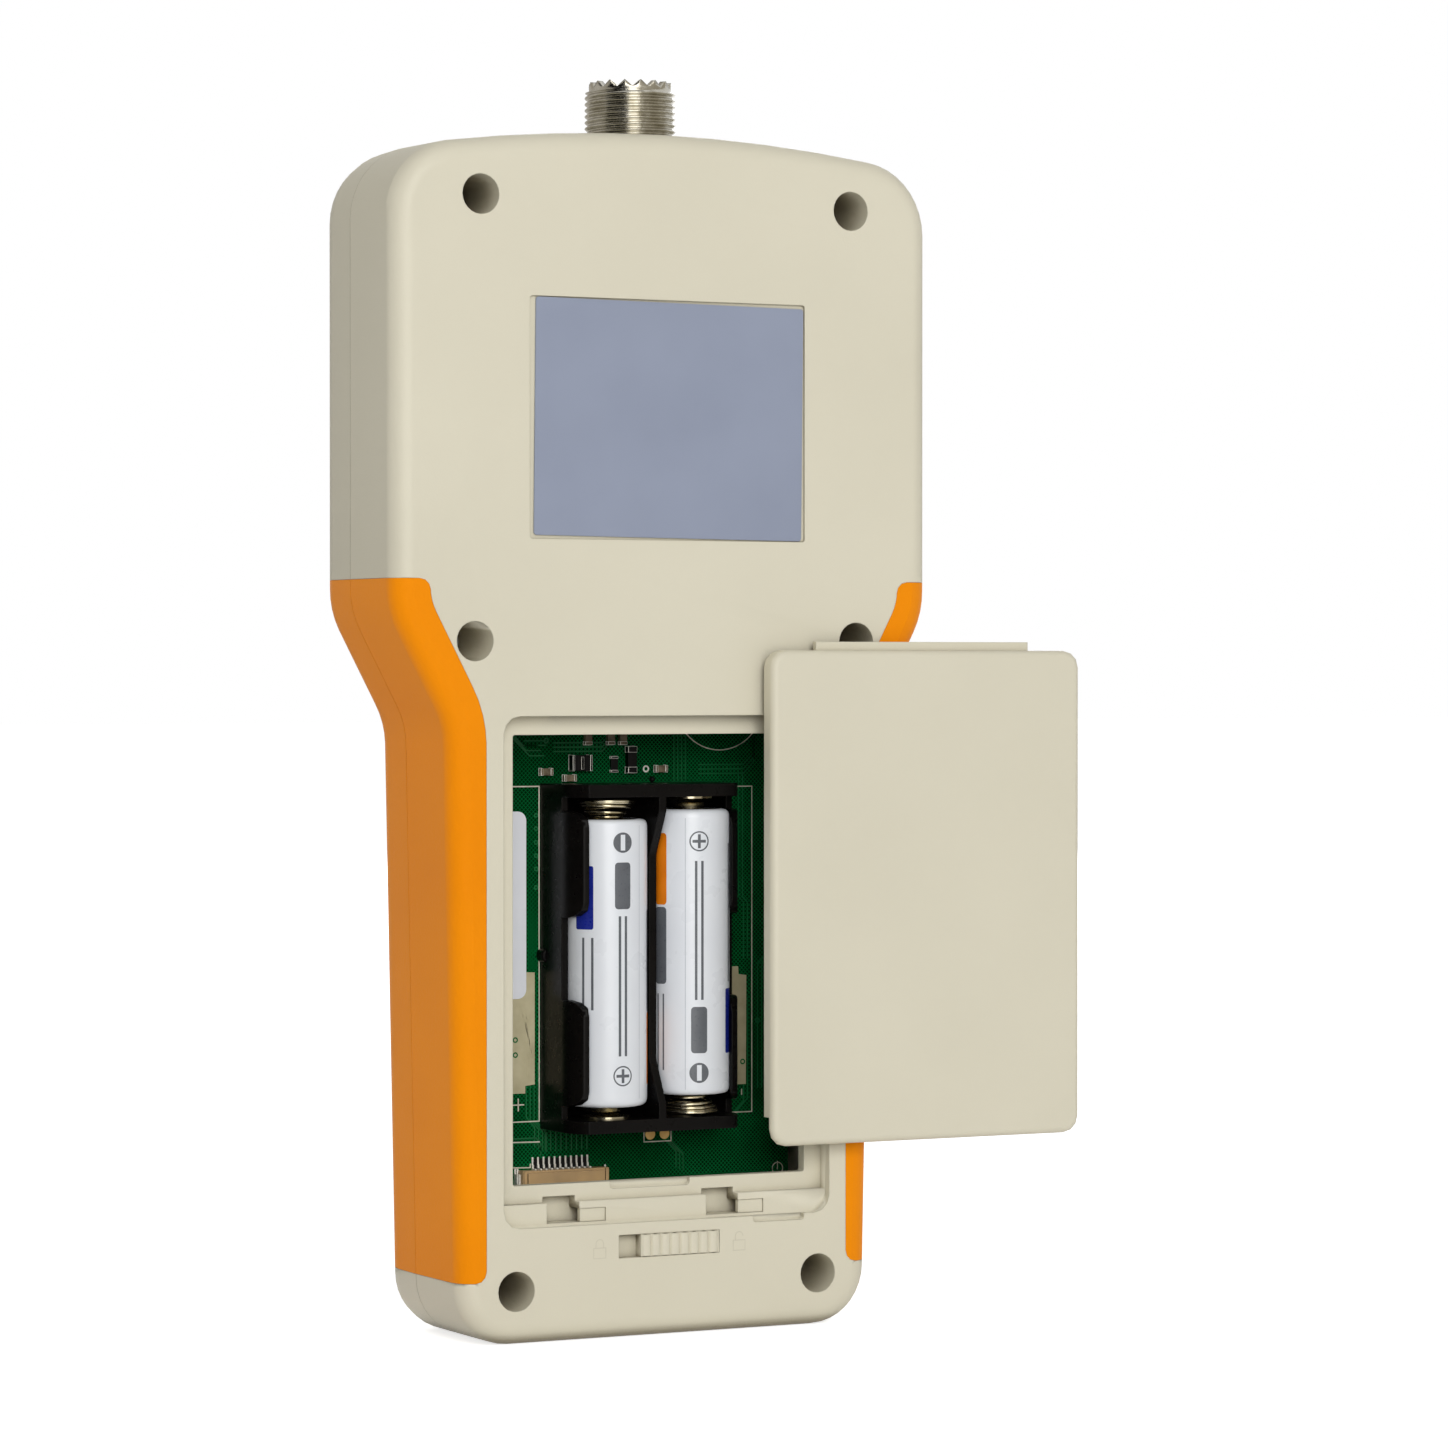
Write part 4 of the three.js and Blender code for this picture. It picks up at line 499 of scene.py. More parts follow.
socket = {
    "centreY": -1.1, "crest": 7.9, "root": 7.36, "pitch": 1.058, "flank": 1.25, "flat": 0.1,
    "neck": 7.15, "neckDrop": 1.55, "shoulder": 0.2, "tip": 215.77, "toothHeight": 1.25, "teeth": 16,
    "foot": 203.0, "bore": 5.95, "innerBore": 4.8, "seat": 192.2, "tail": 190.2, "tailRadius": 6.6,
    "flange": (22, 18, 200.6, 202.8), "flangeCorner": 1.5, "hole": 5.98, "holeSides": 32,
    "columns": 128, "rowsPerTurn": 8,
}


def threadRadius(height, angle):
    # a 60 degree screw thread with a small flat on its crest
    phase = (height / socket["pitch"] - angle / (2 * pi)) % 1
    rise = min(1, max(0, socket["flank"] * (1 - abs(2 * phase - 1)) - socket["flat"]))
    return socket["root"] + (socket["crest"] - socket["root"]) * rise


def rimHeight(radius, angle):
    # pointed teeth, cut straight across the rim
    pitch = 2 * pi / socket["teeth"]
    offset = abs((angle / pitch) % 1 - 0.5) * pitch
    gap = socket["neck"] * tan(pitch / 2)
    return socket["tip"] - socket["toothHeight"] * min(1, radius * tan(offset) / gap)


def barrelRows():
    # radius and height of each ring of points; no radius follows the thread, no height the pointed rim
    foot, neck, bore, tail = (socket[key] for key in ("foot", "neck", "bore", "tail"))
    neckLow = socket["tip"] - socket["neckDrop"]
    toothFoot = socket["tip"] - socket["toothHeight"]
    rise = neckLow - socket["shoulder"] - foot
    steps = round(rise / socket["pitch"] * socket["rowsPerTurn"])
    rows = [(None, foot + rise * i / steps) for i in range(steps + 1)]
    rows += [(neck, neckLow), (neck, toothFoot), (neck, None), (bore, None), (bore, toothFoot)]
    rows += [(bore, socket["seat"]), (socket["innerBore"], socket["seat"]), (socket["innerBore"], tail)]
    return rows + [(socket["tailRadius"], tail), (socket["tailRadius"], foot)]


def buildSocketBarrel():
    bm = bmesh.new()
    columns, y = socket["columns"], socket["centreY"]
    rings = []
    for radius, height in barrelRows():
        rings.append([])
        for k, (c, s) in enumerate(circle(columns)):
            angle = 2 * pi * k / columns
            reach = radius or threadRadius(height, angle)
            rings[-1].append(bm.verts.new((reach * c, y + reach * s, height or rimHeight(reach, angle))))
    skinRings(bm, rings + rings[:1])
    wide, deep, low, high = socket["flange"]
    plate = roundedBox(-wide / 2, wide / 2, y - deep / 2, y + deep / 2, socket["flangeCorner"])
    hole = [(socket["hole"] * c, y + socket["hole"] * s) for c, s in circle(socket["holeSides"])]
    buildFlange(bm, plate, hole, low, high)
    bmesh.ops.recalc_face_normals(bm, faces=bm.faces)
    barrel = finishPiece("socketBarrel", bm, ["socketNickel"], "case", True)
    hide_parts("socket_shell")


def buildFlange(bm, plate, hole, low, high):
    # the square plate under the crown, open round the bore
    levels = []
    for z in (low, high):
        loops = [[bm.verts.new((x, y, z)) for x, y in points] for points in (plate, hole)]
        edges = [bm.edges.new((a, b)) for loop in loops for a, b in zip(loop, loop[1:] + loop[:1])]
        bmesh.ops.triangle_fill(bm, use_beauty=True, edges=edges)
        levels.append(loops)
    for below, above in zip(*levels):
        skinRings(bm, [below, above])


buildSocketBarrel()
print("threaded socket made")

# cells: printed sleeve marks and bare metal ends

cells = {
    "left": {"x": 6.7, "base": 88.4, "way": -1, "marks": 88.0, "seam": 117.0},
    "right": {"x": -9.3, "base": 40.6, "way": 1, "marks": 78.0, "seam": 58.3},
}
cellShape = {"y": 3.0, "ink": 7.112, "columns": 72}
cellInks = ["inkGrey", "inkOrange", "inkBlue", "inkSeam", "cellSleeve"]
cellMarks = {
    # sizes, and places counted from the flat end
    "disc": 1.75, "ringLine": 0.25, "plusArm": 1.2, "plusHalf": 0.25, "plusPlace": 43.9, "plusLift": 0.004,
    "minusHalf": (0.42, 1.35), "minusPlace": 3.9, "minusLift": 0.012,
    "badgeHalf": (1.45, 4.0), "badgeCorner": 0.6, "badgePlace": 11.3, "seamHalf": (0.06, 23.45),
    "seamPlace": 24.45, "ruleHalf": (0.225, 12.0), "ruleTurn": 4.5, "rulePlace": 28.5,
}
cellBlocks = {
    # colour blocks and rules down the sleeve: angle, height, half width and height, corner and ink
    "left": [
        (32.0, 75.05, (1.75, 5.45), 0.35, "inkBlue"), (30.5, 62.0, (0.22, 6.2), 0, "inkGrey"),
        (44.5, 62.0, (0.22, 6.2), 0, "inkGrey"), (152.0, 48.9, (1.2, 6.2), 0.6, "inkOrange"),
        (152.0, 64.0, (1.2, 8.8), 0.6, "inkGrey"),
    ],
    "right": [
        (20.3, 79.7, (1.25, 6.2), 0.6, "inkOrange"), (20.0, 66.45, (1.25, 6.65), 0.6, "inkGrey"),
        (15.0, 51.5, (0.16, 6.6), 0, "inkGrey"), (25.0, 51.5, (0.16, 6.6), 0, "inkGrey"),
        (138.3, 53.25, (1.45, 5.6), 0.35, "inkBlue"), (138.3, 72.0, (0.3, 12.0), 0, "inkGrey"),
    ],
}
# radius, distance from the flat end, and whether the band up to the next one is bare metal
cellProfile = [
    (3.0, 0.1, True), (5.2, 0.06, True), (5.5, 0.02, False), (6.0, 0.0, False), (6.5, 0.1, False),
    (6.85, 0.34, False), (7.03, 0.72, False), (7.1, 1.2, False), (7.1, 47.9, False), (7.05, 48.4, False),
    (6.88, 48.85, False), (6.5, 49.2, False), (5.9, 49.38, False), (5.5, 49.36, True), (5.2, 49.3, True),
    (2.9, 49.3, True), (2.75, 49.45, True), (2.75, 50.25, True), (2.5, 50.5, True),
]


def onCell(cell, angle, radius, z):
    turn = radians(angle)
    return (cell["x"] + radius * cos(turn), cellShape["y"] + radius * sin(turn), z)


def inkPatch(bm, cell, middle, z, half, corner=0.0, ink="inkGrey", lift=0.0, columns=8, rows=20):
    # a printed patch that follows the sleeve, with rounded ends where asked
    halfWidth, halfHeight = half
    radius = cellShape["ink"] + lift
    grid = []
    for j in range(rows + 1):
        height = halfHeight * sin(pi * (j / rows - 0.5))
        past = max(0, abs(height) - (halfHeight - corner))
        narrow = corner - sqrt(max(0, corner * corner - past * past))
        reach = degrees((halfWidth - narrow) / radius)
        angles = [middle + reach * (1 - 2 * i / columns) for i in range(columns + 1)]
        grid.append([bm.verts.new(onCell(cell, angle, radius, z + height)) for angle in angles])
    for band in skinRings(bm, grid, False):
        for face in band:
            face.material_index = cellInks.index(ink)


def inkRing(bm, cell, middle, z, outer, inner, steps=36):
    ink = cellShape["ink"]
    loops = []
    for radius in (inner, outer):
        places = [(middle + degrees(radius * c / ink), z + radius * s) for c, s in circle(steps)]
        loops.append([bm.verts.new(onCell(cell, angle, ink, height)) for angle, height in places])
    skinRings(bm, loops)


def buildCellSleeve(side, cell):
    # a turned body: the printed sleeve shrunk over both rims, and the bare steel ends
    bm = bmesh.new()
    columns = cellShape["columns"]
    rings = []
    for radius, along, _ in cellProfile:
        z = cell["base"] + cell["way"] * along
        rings.append([bm.verts.new(onCell(cell, 360 * k / columns, radius, z)) for k in range(columns)])
    bands, ends = skinBody(bm, rings)
    for band, (_, _, isMetal) in zip(bands, cellProfile):
        for face in band:
            face.material_index = int(isMetal)
    for face in ends:
        face.material_index = 1
    sleeve = finishPiece("cellBody_" + side, bm, ["cellSleeve", "nickelPlate"], "case", True)
    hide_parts("cell_" + side)


def buildCellPrint(side, cell):
    # polarity signs, plain colour blocks and thin rules
    bm = bmesh.new()
    marks, middle = cellMarks, cell["marks"]
    plus, minus, badge, rule, seam = (cell["base"] + cell["way"] * marks[sign + "Place"]
                                      for sign in ("plus", "minus", "badge", "rule", "seam"))
    disc, arm, half = marks["disc"], marks["plusArm"], marks["plusHalf"]
    inkRing(bm, cell, middle, plus, disc, disc - marks["ringLine"])
    inkPatch(bm, cell, middle, plus, (arm, half), rows=2)
    inkPatch(bm, cell, middle, plus, (half, arm), lift=marks["plusLift"], columns=2)
    inkPatch(bm, cell, middle, minus, (disc, disc), disc, rows=16)
    inkPatch(bm, cell, middle, minus, marks["minusHalf"], 0, "cellSleeve", marks["minusLift"], columns=2)
    inkPatch(bm, cell, middle, badge, marks["badgeHalf"], marks["badgeCorner"])
    for turn in (-marks["ruleTurn"], marks["ruleTurn"]):
        inkPatch(bm, cell, middle + turn, rule, marks["ruleHalf"], columns=2)
    for angle, z, half, corner, ink in cellBlocks[side]:
        inkPatch(bm, cell, angle, z, half, corner, ink, columns=8 if corner else 2)
    inkPatch(bm, cell, cell["seam"], seam, marks["seamHalf"], ink="inkSeam", columns=1)
    finishPiece("cellPrint_" + side, bm, cellInks, "case", True)


for side, cell in cells.items():
    buildCellSleeve(side, cell)
    buildCellPrint(side, cell)
print("cells printed")

# conical springs at the flat ends

springs = {
    "wire": 0.29, "sides": 10, "steps": 28, "start": 0.6,
    # distance from the wall and radius, one turn after the other
    "left": [(0.3, 4.9), (0.5, 4.8), (1.05, 4.55), (2.2, 3.5), (3.1, 2.8), (3.25, 2.6)],
    "right": [(0.3, 4.9), (0.45, 4.75), (1.05, 4.55), (1.65, 4.3), (2.75, 3.2), (3.25, 2.6)],
}


def buildSpring(side, cell):
    bm = bmesh.new()
    low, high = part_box("spring_" + side)
    wall = (high if side == "left" else low)[2] / mm
    turns, thick, way = springs[side], springs["wire"], cell["way"]
    rings = []
    for step in range((len(turns) - 1) * springs["steps"] + 1):
        turn = step / springs["steps"]
        last = min(int(turn), len(turns) - 2)
        (fromZ, fromR), (toZ, toR) = turns[last:last + 2]
        share = turn - last
        reach, rise = fromR + (toR - fromR) * share, fromZ + (toZ - fromZ) * share
        angle = degrees(2 * pi * turn + springs["start"])
        ring = [(reach + thick * c, wall + way * (rise + thick * s)) for c, s in circle(springs["sides"])]
        rings.append([bm.verts.new(onCell(cell, angle, radius, z)) for radius, z in ring])
    skinBody(bm, rings)
    coil = finishPiece("coil_" + side, bm, ["nickelPlate"], "case", True)
    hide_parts("spring_" + side)


for side, cell in cells.items():
    buildSpring(side, cell)
print("springs wound")

# circuit board: copper, ink, solder and small parts

board = {"back": -5.6, "copper": 0.03, "ink": 0.05, "inkWidth": 0.2, "traceWidth": 0.22}
tracks = [
    # first point, steps from there, how many run side by side and how far apart
    ((15.6, 46.0), [(0, -10.4), (-1.6, -1.8), (0, -3.4)], 4, (0.75, 0.35)),
    ((20.6, 33.0), [(-4.6, 0), (-0.9, -0.9), (0, -1.4)], 2, (0, -0.8)),
    ((6.2, 34.4), [(0, -3.8)], 9, (1.0, 0)),
    ((-10.4, 33.6), [(0, -2.4), (-2.2, -2.2), (0, -3.0)], 3, (0.7, 0.3)),
    ((-14.6, 33.4), [(-5.6, 0), (-4.4, 4.4), (0, 18)], 2, (-0.8, 0.5)),
    ((-27.4, 40.0), [(0, 22), (-1.4, 1.4), (0, 30)], 3, (-0.8, 0)),
    ((20.6, 102.4), [(-3.4, -3.2), (-2.8, 0)], 3, (0.6, 0.9)),
    ((18.2, 101.8), [(-4.1, 0)], 2, (0, -0.8)),
    ((12.6, 99.9), [(-9.4, 0), (-1.0, 1.0), (0, 2.0)], 3, (0, 0.75)),
    ((-10.8, 103.0), [(0, -8.4), (1.2, -1.2), (0, -4)], 4, (-0.75, 0)),
    ((-15.6, 97.4), [(-9.0, 0), (-2.0, 2.0), (0, 3.6)], 3, (0, -0.8)),
    ((-23.6, 96.0), [(0, -22), (-1.0, -1.0), (0, -10)], 2, (-0.8, 0)),
]


def buildTraces():
    bm = bmesh.new()
    for start, steps, count, spacing in tracks:
        for k in range(count):
            points = [(start[0] + spacing[0] * k, start[1] + spacing[1] * k)]
            for dx, dz in steps:
                points.append((points[-1][0] + dx, points[-1][1] + dz))
            addLine(bm, points, board["traceWidth"], board["back"], board["back"] + board["copper"])
    finishPiece("boardTraces", bm, ["traceGreen"], "case")


pads = {
    # finish, height above the board, and rows of radius, hole and places
    "boardPads": ("goldPad", 0.11, [(0.95, 0, [(-6.1, 32.7), (-8.9, 32.7)])]),
    "boardVias": ("traceGreen", 0.06, [
        (0.42, 0.2, [(15.95, z) for z in (88.9, 86.6, 84.2, 81.9, 79.6, 76.4)]),
        (0.5, 0.26, [(19.96, 50.1), (19.96, 47.5), (-27.4, 52.0), (-24.4, 44.8), (14.0, 101.8)])]),
    "testPad": ("solderTin", 0.06, [(0.62, 0.34, [(-5.3, 96.75)])]),
}
bareCopper = {
    "left": [(20.5, 57.5), (18.55, 61.8), (16.25, 61.7), (16.25, 42.3), (18.07, 42.1), (18.07, 40.8),
             (20.5, 40.8)],
    "right": [(-22.3, 61.7), (-23.5, 61.7), (-23.6, 60.3), (-25.15, 60.1), (-25.05, 40.8), (-22.3, 40.8)],
    "height": 0.05, "ridges": 5, "ridgeWidth": 0.12, "ridgeTop": 0.07,
    # each ridge's points, and how far they shift from one ridge to the next
    "ridge": [(20.3, 59.0, -0.55, -1.5), (17.9, 55.5, -0.32, -2.2), (17.9, 43.0, -0.32, 0)],
}


def buildPads():
    back = board["back"]
    for name, (finish, height, rows) in pads.items():
        bm = bmesh.new()
        for radius, hole, places in rows:
            for place in places:
                addDisc(bm, place, radius, back, back + height, hole)
        finishPiece(name, bm, [finish], "case")
    bm = bmesh.new()
    top = back + bareCopper["height"]
    for side in ("left", "right"):
        addSlab(bm, bareCopper[side], back, top)
    for k in range(bareCopper["ridges"]):
        points = [(x + k * dx, z + k * dz) for x, z, dx, dz in bareCopper["ridge"]]
        addLine(bm, points, bareCopper["ridgeWidth"], top, back + bareCopper["ridgeTop"])
    finishPiece("bareCopper", bm, ["tanPad"], "case")


silk = {
    "lines": [
        [(20.8, 93.9), (15.4, 93.9), (15.4, 35.9), (20.8, 35.9)],
        [(-16.0, 93.5), (-26.24, 93.5), (-26.24, 35.9), (-16.0, 35.9)],
        [(20.4, 32.4), (15.3, 32.3)], [(20.4, 28.0), (17.1, 27.9), (17.1, 28.6)],
        [(-4.9, 34.2), (-4.9, 31.4), (-10.2, 31.4), (-10.2, 34.2)],
        [(19.4, 39.95), (19.4, 37.75)], [(20.5, 38.85), (18.3, 38.85)],
        [(-22.0, 61.2), (-21.2, 61.2)], [(-24.2, 40.0), (-24.2, 38.9)], [(-31.4, 26.9), (-31.4, 25.4)],
    ],
    "arc": (-19.8, 108.85, 8.9, 200, 340), "arcSteps": 24, "ring": ((-31.4, 25.6), 1.15, 0.95),
}


def buildSilk():
    bm = bmesh.new()
    width, low, high = board["inkWidth"], board["back"], board["back"] + board["ink"]
    x, z, radius, start, end = silk["arc"]
    turns = [radians(start + (end - start) * i / silk["arcSteps"]) for i in range(silk["arcSteps"] + 1)]
    arc = [(x + radius * cos(turn), z + radius * sin(turn)) for turn in turns]
    for points in silk["lines"] + [arc]:
        addLine(bm, points, width, low, high)
    centre, outer, inner = silk["ring"]
    addDisc(bm, centre, outer, low, high, inner)
    finishPiece("boardInk", bm, ["silkInk"], "case")


chips = [
    # name, place x, z, width, height, thickness, length of each end, body finish, ends across or up
    ("cap1", 14.25, 96.4, 2.4, 1.3, 0.9, 0.5, "chipTan", "x"),
    ("coil", 7.8, 97.9, 3.8, 2.8, 1.7, 0.42, "chipBlack", "x"),
    ("cap2", 9.75, 95.3, 2.4, 1.2, 0.9, 0.5, "chipTan", "x"),
    ("resistor", 1.05, 97.6, 1.4, 2.8, 0.6, 0.42, "chipBlack", "z"),
    ("diode", -2.1, 98.4, 1.75, 4.7, 1.3, 1.1, "chipBlack", "z"),
    ("cap3", -8.0, 96.75, 2.4, 1.3, 0.9, 0.5, "chipTan", "x"),
    ("cap4", 6.2, 102.3, 1.4, 2.6, 0.9, 0.6, "chipTan", "z"),
    ("cap5", 1.8, 102.3, 1.4, 2.6, 0.9, 0.6, "chipTan", "z"),
    ("cap6", -0.55, 102.3, 1.4, 2.6, 0.9, 0.6, "chipTan", "z"),
]
chipShape = {
    # gap under it, how far the core stays back from the ends, bevels of core and ends, and the solder's foot
    "gap": 0.02, "lower": 0.03, "narrower": 0.04, "coreBevel": 0.06, "endBevel": 0.08,
    "solder": 0.05, "solderTop": 0.14,
    "coilBar": (0.28, 0.3, 0.1, 0.02),  # half width, distance from the ends, below and above the top
}


def buildChips():
    shape, back = chipShape, board["back"]
    for name, x, z, wide, tall, thick, end, body, way in chips:
        bm = bmesh.new()
        low = back + shape["gap"]
        high = low + thick
        halfX, halfZ = wide / 2, tall / 2
        if way == "x":
            core = (halfX - end, halfZ - shape["narrower"])
            ends = [(x + side * (halfX - end / 2), z, end / 2, halfZ) for side in (-1, 1)]
        else:
            core = (halfX - shape["narrower"], halfZ - end)
            ends = [(x, z + side * (halfZ - end / 2), halfX, end / 2) for side in (-1, 1)]
        addBlock(bm, (x - core[0], low, z - core[1]), (x + core[0], high - shape["lower"], z + core[1]),
                 shape["coreBevel"])
        for px, pz, hx, hz in ends:
            addBlock(bm, (px - hx, low, pz - hz), (px + hx, high, pz + hz), shape["endBevel"], 1)
            hx, hz, foot = hx + shape["solder"], hz + shape["solder"], back + shape["solderTop"]
            addBlock(bm, (px - hx, back, pz - hz), (px + hx, foot, pz + hz), shape["solder"], 1)
        if name == "coil":
            half, shorter, below, above = shape["coilBar"]
            reach = halfZ - shorter
            corners = (x - half, high - below, z - reach), (x + half, high + above, z + reach)
            addBlock(bm, *corners, shape["coreBevel"], 1)
        finishPiece("chip_" + name, bm, [body, "solderTin"], "case")


turned = {
    # small round pieces: place x and z, finish, slot, sides, smooth or not, and radius and height up the axis
    "solderBead": (-6.5, 94.9, "chipBlack", "board", 20, True,
                   [(0.56, 0), (0.5, 0.08), (0.48, 0.2), (0.42, 0.36), (0.3, 0.5), (0.16, 0.59),
                    (0.05, 0.62)]),
    "holderPeg": (14.7, 64.65, "holderPlastic", "holder", 24, False, [(1.25, 0), (1.25, 2.1), (0.95, 2.4)]),
}


def buildTurned():
    for name, (x, z, finish, slotName, sides, smooth, profile) in turned.items():
        bm = bmesh.new()
        rings = []
        for radius, height in profile:
            y = board["back"] + height
            rings.append([bm.verts.new((x + radius * c, y, z + radius * s)) for c, s in circle(sides)])
        skinBody(bm, rings)
        finishPiece(name, bm, [finish], "case", smooth)


ribbonSocket = {
    "left": 19.55, "right": 3.0, "low": 23.2, "high": 27.55, "height": 2.6, "wing": 0.9,
    "step": 0.35, "lap": 0.4, "ear": (0.3, 0.05, 0.1), "bevels": (0.12, 0.1, 0.08),
    "pins": 11, "pinStart": 16.75, "pinPitch": 1.055, "pinHalf": 0.15, "pinBevel": 0.04,
    # each pin's blocks: from and to beyond the body's edge, then height from and to
    "pinBlocks": [(-0.1, 0.25, 0.06, 1.5), (0.15, 0.85, 0.06, 0.45), (0.75, 2.15, 0.02, 0.24)],
    "clips": [("left", -0.05, 0.25), ("left", 0.4, 0.7), ("right", -0.35, -0.05)],
    # each clip's blocks: from one edge and to the high one, height from and to, and bevel
    "clipBlocks": [("low", 0.8, -0.6, 0.02, 1.3, 0.08), ("high", -0.9, 0.3, 0.02, 0.35, 0.06)],
    # the dark strip under the pins, painting the shade between them: from and to beyond the body's edge,
    # height and bevel
    "pinShade": (-0.05, 1.9, 0.1, 0.03),
}


def buildRibbonSocketParts():
    names = ("left", "right", "low", "high", "height", "wing", "lap", "pinStart", "pinHalf")
    left, right, low, high, height, wing, lap, pinStart, half = (ribbonSocket[name] for name in names)
    back, top = board["back"], board["back"] + height
    bodyBevel, lidBevel, earBevel = ribbonSocket["bevels"]
    reach, lower, shorter = ribbonSocket["ear"]
    bm = bmesh.new()
    addBlock(bm, (right, back, low), (left, top - ribbonSocket["step"], high), bodyBevel)
    addBlock(bm, (right + wing, top - lap, low), (left - wing, top, high - lap), lidBevel)
    for x in (right + wing / 2, left - wing / 2):
        addBlock(bm, (x - reach, top - lap, low), (x + reach, top - lower, high - shorter), earBevel)
    body = finishPiece("ribbonBody", bm, ["ribbonPlastic"], "case")
    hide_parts("keypad_socket")
    bm = bmesh.new()
    pins = [pinStart - ribbonSocket["pinPitch"] * k for k in range(ribbonSocket["pins"])]
    for x in pins:
        for first, last, under, over in ribbonSocket["pinBlocks"]:
            corners = (x - half, back + under, high + first), (x + half, back + over, high + last)
            addBlock(bm, *corners, ribbonSocket["pinBevel"])
    for side, x0, x1 in ribbonSocket["clips"]:
        x0, x1 = ribbonSocket[side] + x0, ribbonSocket[side] + x1
        for edge, first, last, under, over, bevel in ribbonSocket["clipBlocks"]:
            start = ribbonSocket[edge] + first
            addBlock(bm, (x0, back + under, start), (x1, back + over, high + last), bevel)
    finishPiece("ribbonPins", bm, ["solderTin"], "case")
    # a dark strip under the pins: painted shade between them
    bm = bmesh.new()
    first, last, over, bevel = ribbonSocket["pinShade"]
    addBlock(bm, (pins[-1], back, high + first), (pins[0], back + over, high + last), bevel)
    finishPiece("ribbonPinShade", bm, ["chipBlack"], "case")


sticker = {"edges": (17.9, 27.5, 57.2, 89.6), "corner": 1.6, "steps": 6, "height": 0.12}


def buildSticker():
    bm = bmesh.new()
    outline = roundedBox(*sticker["edges"], sticker["corner"], sticker["steps"])
    addSlab(bm, outline, board["back"], board["back"] + sticker["height"])
    finishPiece("boardSticker", bm, ["paperSticker"], "case")


buildTraces()
buildPads()
buildSilk()
buildChips()
buildRibbonSocketParts()
buildSticker()
buildTurned()
print("board made")

# padlock marks beside the latch: outlines in a darker tone, painted shade of their moulded grooves

padlocks = {
    "line": 0.16, "depths": (13.98, 14.012), "low": 14.0, "bodyHeight": 1.75, "height": 3.2,
    "halfWidth": 1.15, "bow": 0.62, "bowStep": 20, "shutX": 13.3, "openX": -13.45,
}


def buildPadlock(name, x, isOpen):
    bm = bmesh.new()
    low, line, depths, half = (padlocks[key] for key in ("low", "line", "depths", "halfWidth"))
    top = low + padlocks["bodyHeight"]
    outline = [(x - half, low), (x + half, low), (x + half, top), (x - half, top)]
    addLine(bm, outline, line, *depths, closed=True)
    arm = half * padlocks["bow"]
    arcZ = low + padlocks["height"] - arm
    turns = [radians(angle) for angle in range(0, 181, padlocks["bowStep"])]
    bow = [(x + arm * cos(turn), arcZ + arm * sin(turn)) for turn in turns]
    feet = [] if isOpen else [(x - arm, top)]
    addLine(bm, [(x + arm, top)] + bow + feet, line, *depths)
    finishPiece(name, bm, ["paintedGrooveShade"], "case")


buildPadlock("padlockShut", padlocks["shutX"], False)
buildPadlock("padlockOpen", padlocks["openX"], True)

# rounded ribs on the latch's thumb pad

latchRibs = {
    "left": 5.35, "right": -9.35, "count": 8, "steps": 8, "low": 13.95, "high": 17.6,
    "foot": 13.9, "sunk": 0.1, "rise": 0.42, "roundness": 3,
}


def buildLatchRibs():
    # one strip of crowned ribs over the thumb pad
    left, right, foot, steps = (latchRibs[key] for key in ("left", "right", "foot", "steps"))
    count = latchRibs["count"] * steps
    profile = [(left, foot - latchRibs["sunk"]), (right, foot - latchRibs["sunk"])]
    for k in range(count + 1):
        across = 2 * (k / steps % 1) - 1
        rise = latchRibs["rise"] * (1 - abs(across) ** latchRibs["roundness"])
        profile.append((right + (left - right) * k / count, foot + rise))
    bm = bmesh.new()
    ends = [[bm.verts.new((x, y, z)) for x, y in profile] for z in (latchRibs["low"], latchRibs["high"])]
    skinBody(bm, ends)
    finishPiece("latchRibs", bm, ["casePlastic"], "latch")


buildLatchRibs()

# cross recesses in the case screws, drawn as dark crosses standing just proud of each head: painted recess
# shade

crossRecess = {"arm": 1.45, "half": 0.42, "deep": 0.3, "proud": 0.02}


def buildCross(name):
    low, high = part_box(name)
    x, z = (low[0] + high[0]) / 2 / mm, (low[2] + high[2]) / 2 / mm
    face = high[1] / mm
    arm, half = crossRecess["arm"], crossRecess["half"]
    outline = [(arm, half), (half, half), (half, arm), (-half, arm), (-half, half), (-arm, half),
               (-arm, -half), (-half, -half), (-half, -arm), (half, -arm), (half, -half), (arm, -half)]
    bm = bmesh.new()
    outline = [(x + dx, z + dz) for dx, dz in outline]
    addSlab(bm, outline, face - crossRecess["deep"], face + crossRecess["proud"])
    finishPiece("cross_" + name, bm, ["paintedRecessShade"], "case")


for name in sorted(frame["nodes"]):
    if name.startswith("case_screw_"):
        buildCross(name)
print("case marks made")

# key legends: plain numbers and arrows

keyLegends = {
    "size": 5.2, "rise": 0.03, "numbers": "123456789.0-",
    # sides and turn of the arrows and diamonds on the last keys
    "signs": {12: (3, 90), 13: (3, 0), 14: (3, 270), 15: (4, 45), 16: (3, 180), 17: (4, 45)},
    "reach": 2, "line": 0.5,
}


def buildNumber(name, sign, body, centre):
    text = bpy.data.curves.new(name, "FONT")
    text.body = sign
    text.size, text.extrude = keyLegends["size"] * mm, keyLegends["rise"] * mm
    text.align_x = text.align_y = "CENTER"
    text.materials.append(material["keyInk"])
    piece = placeObject(name, text)
    piece.location = centre
    piece.rotation_euler = (pi / 2, 0, 0)
    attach(piece, body)


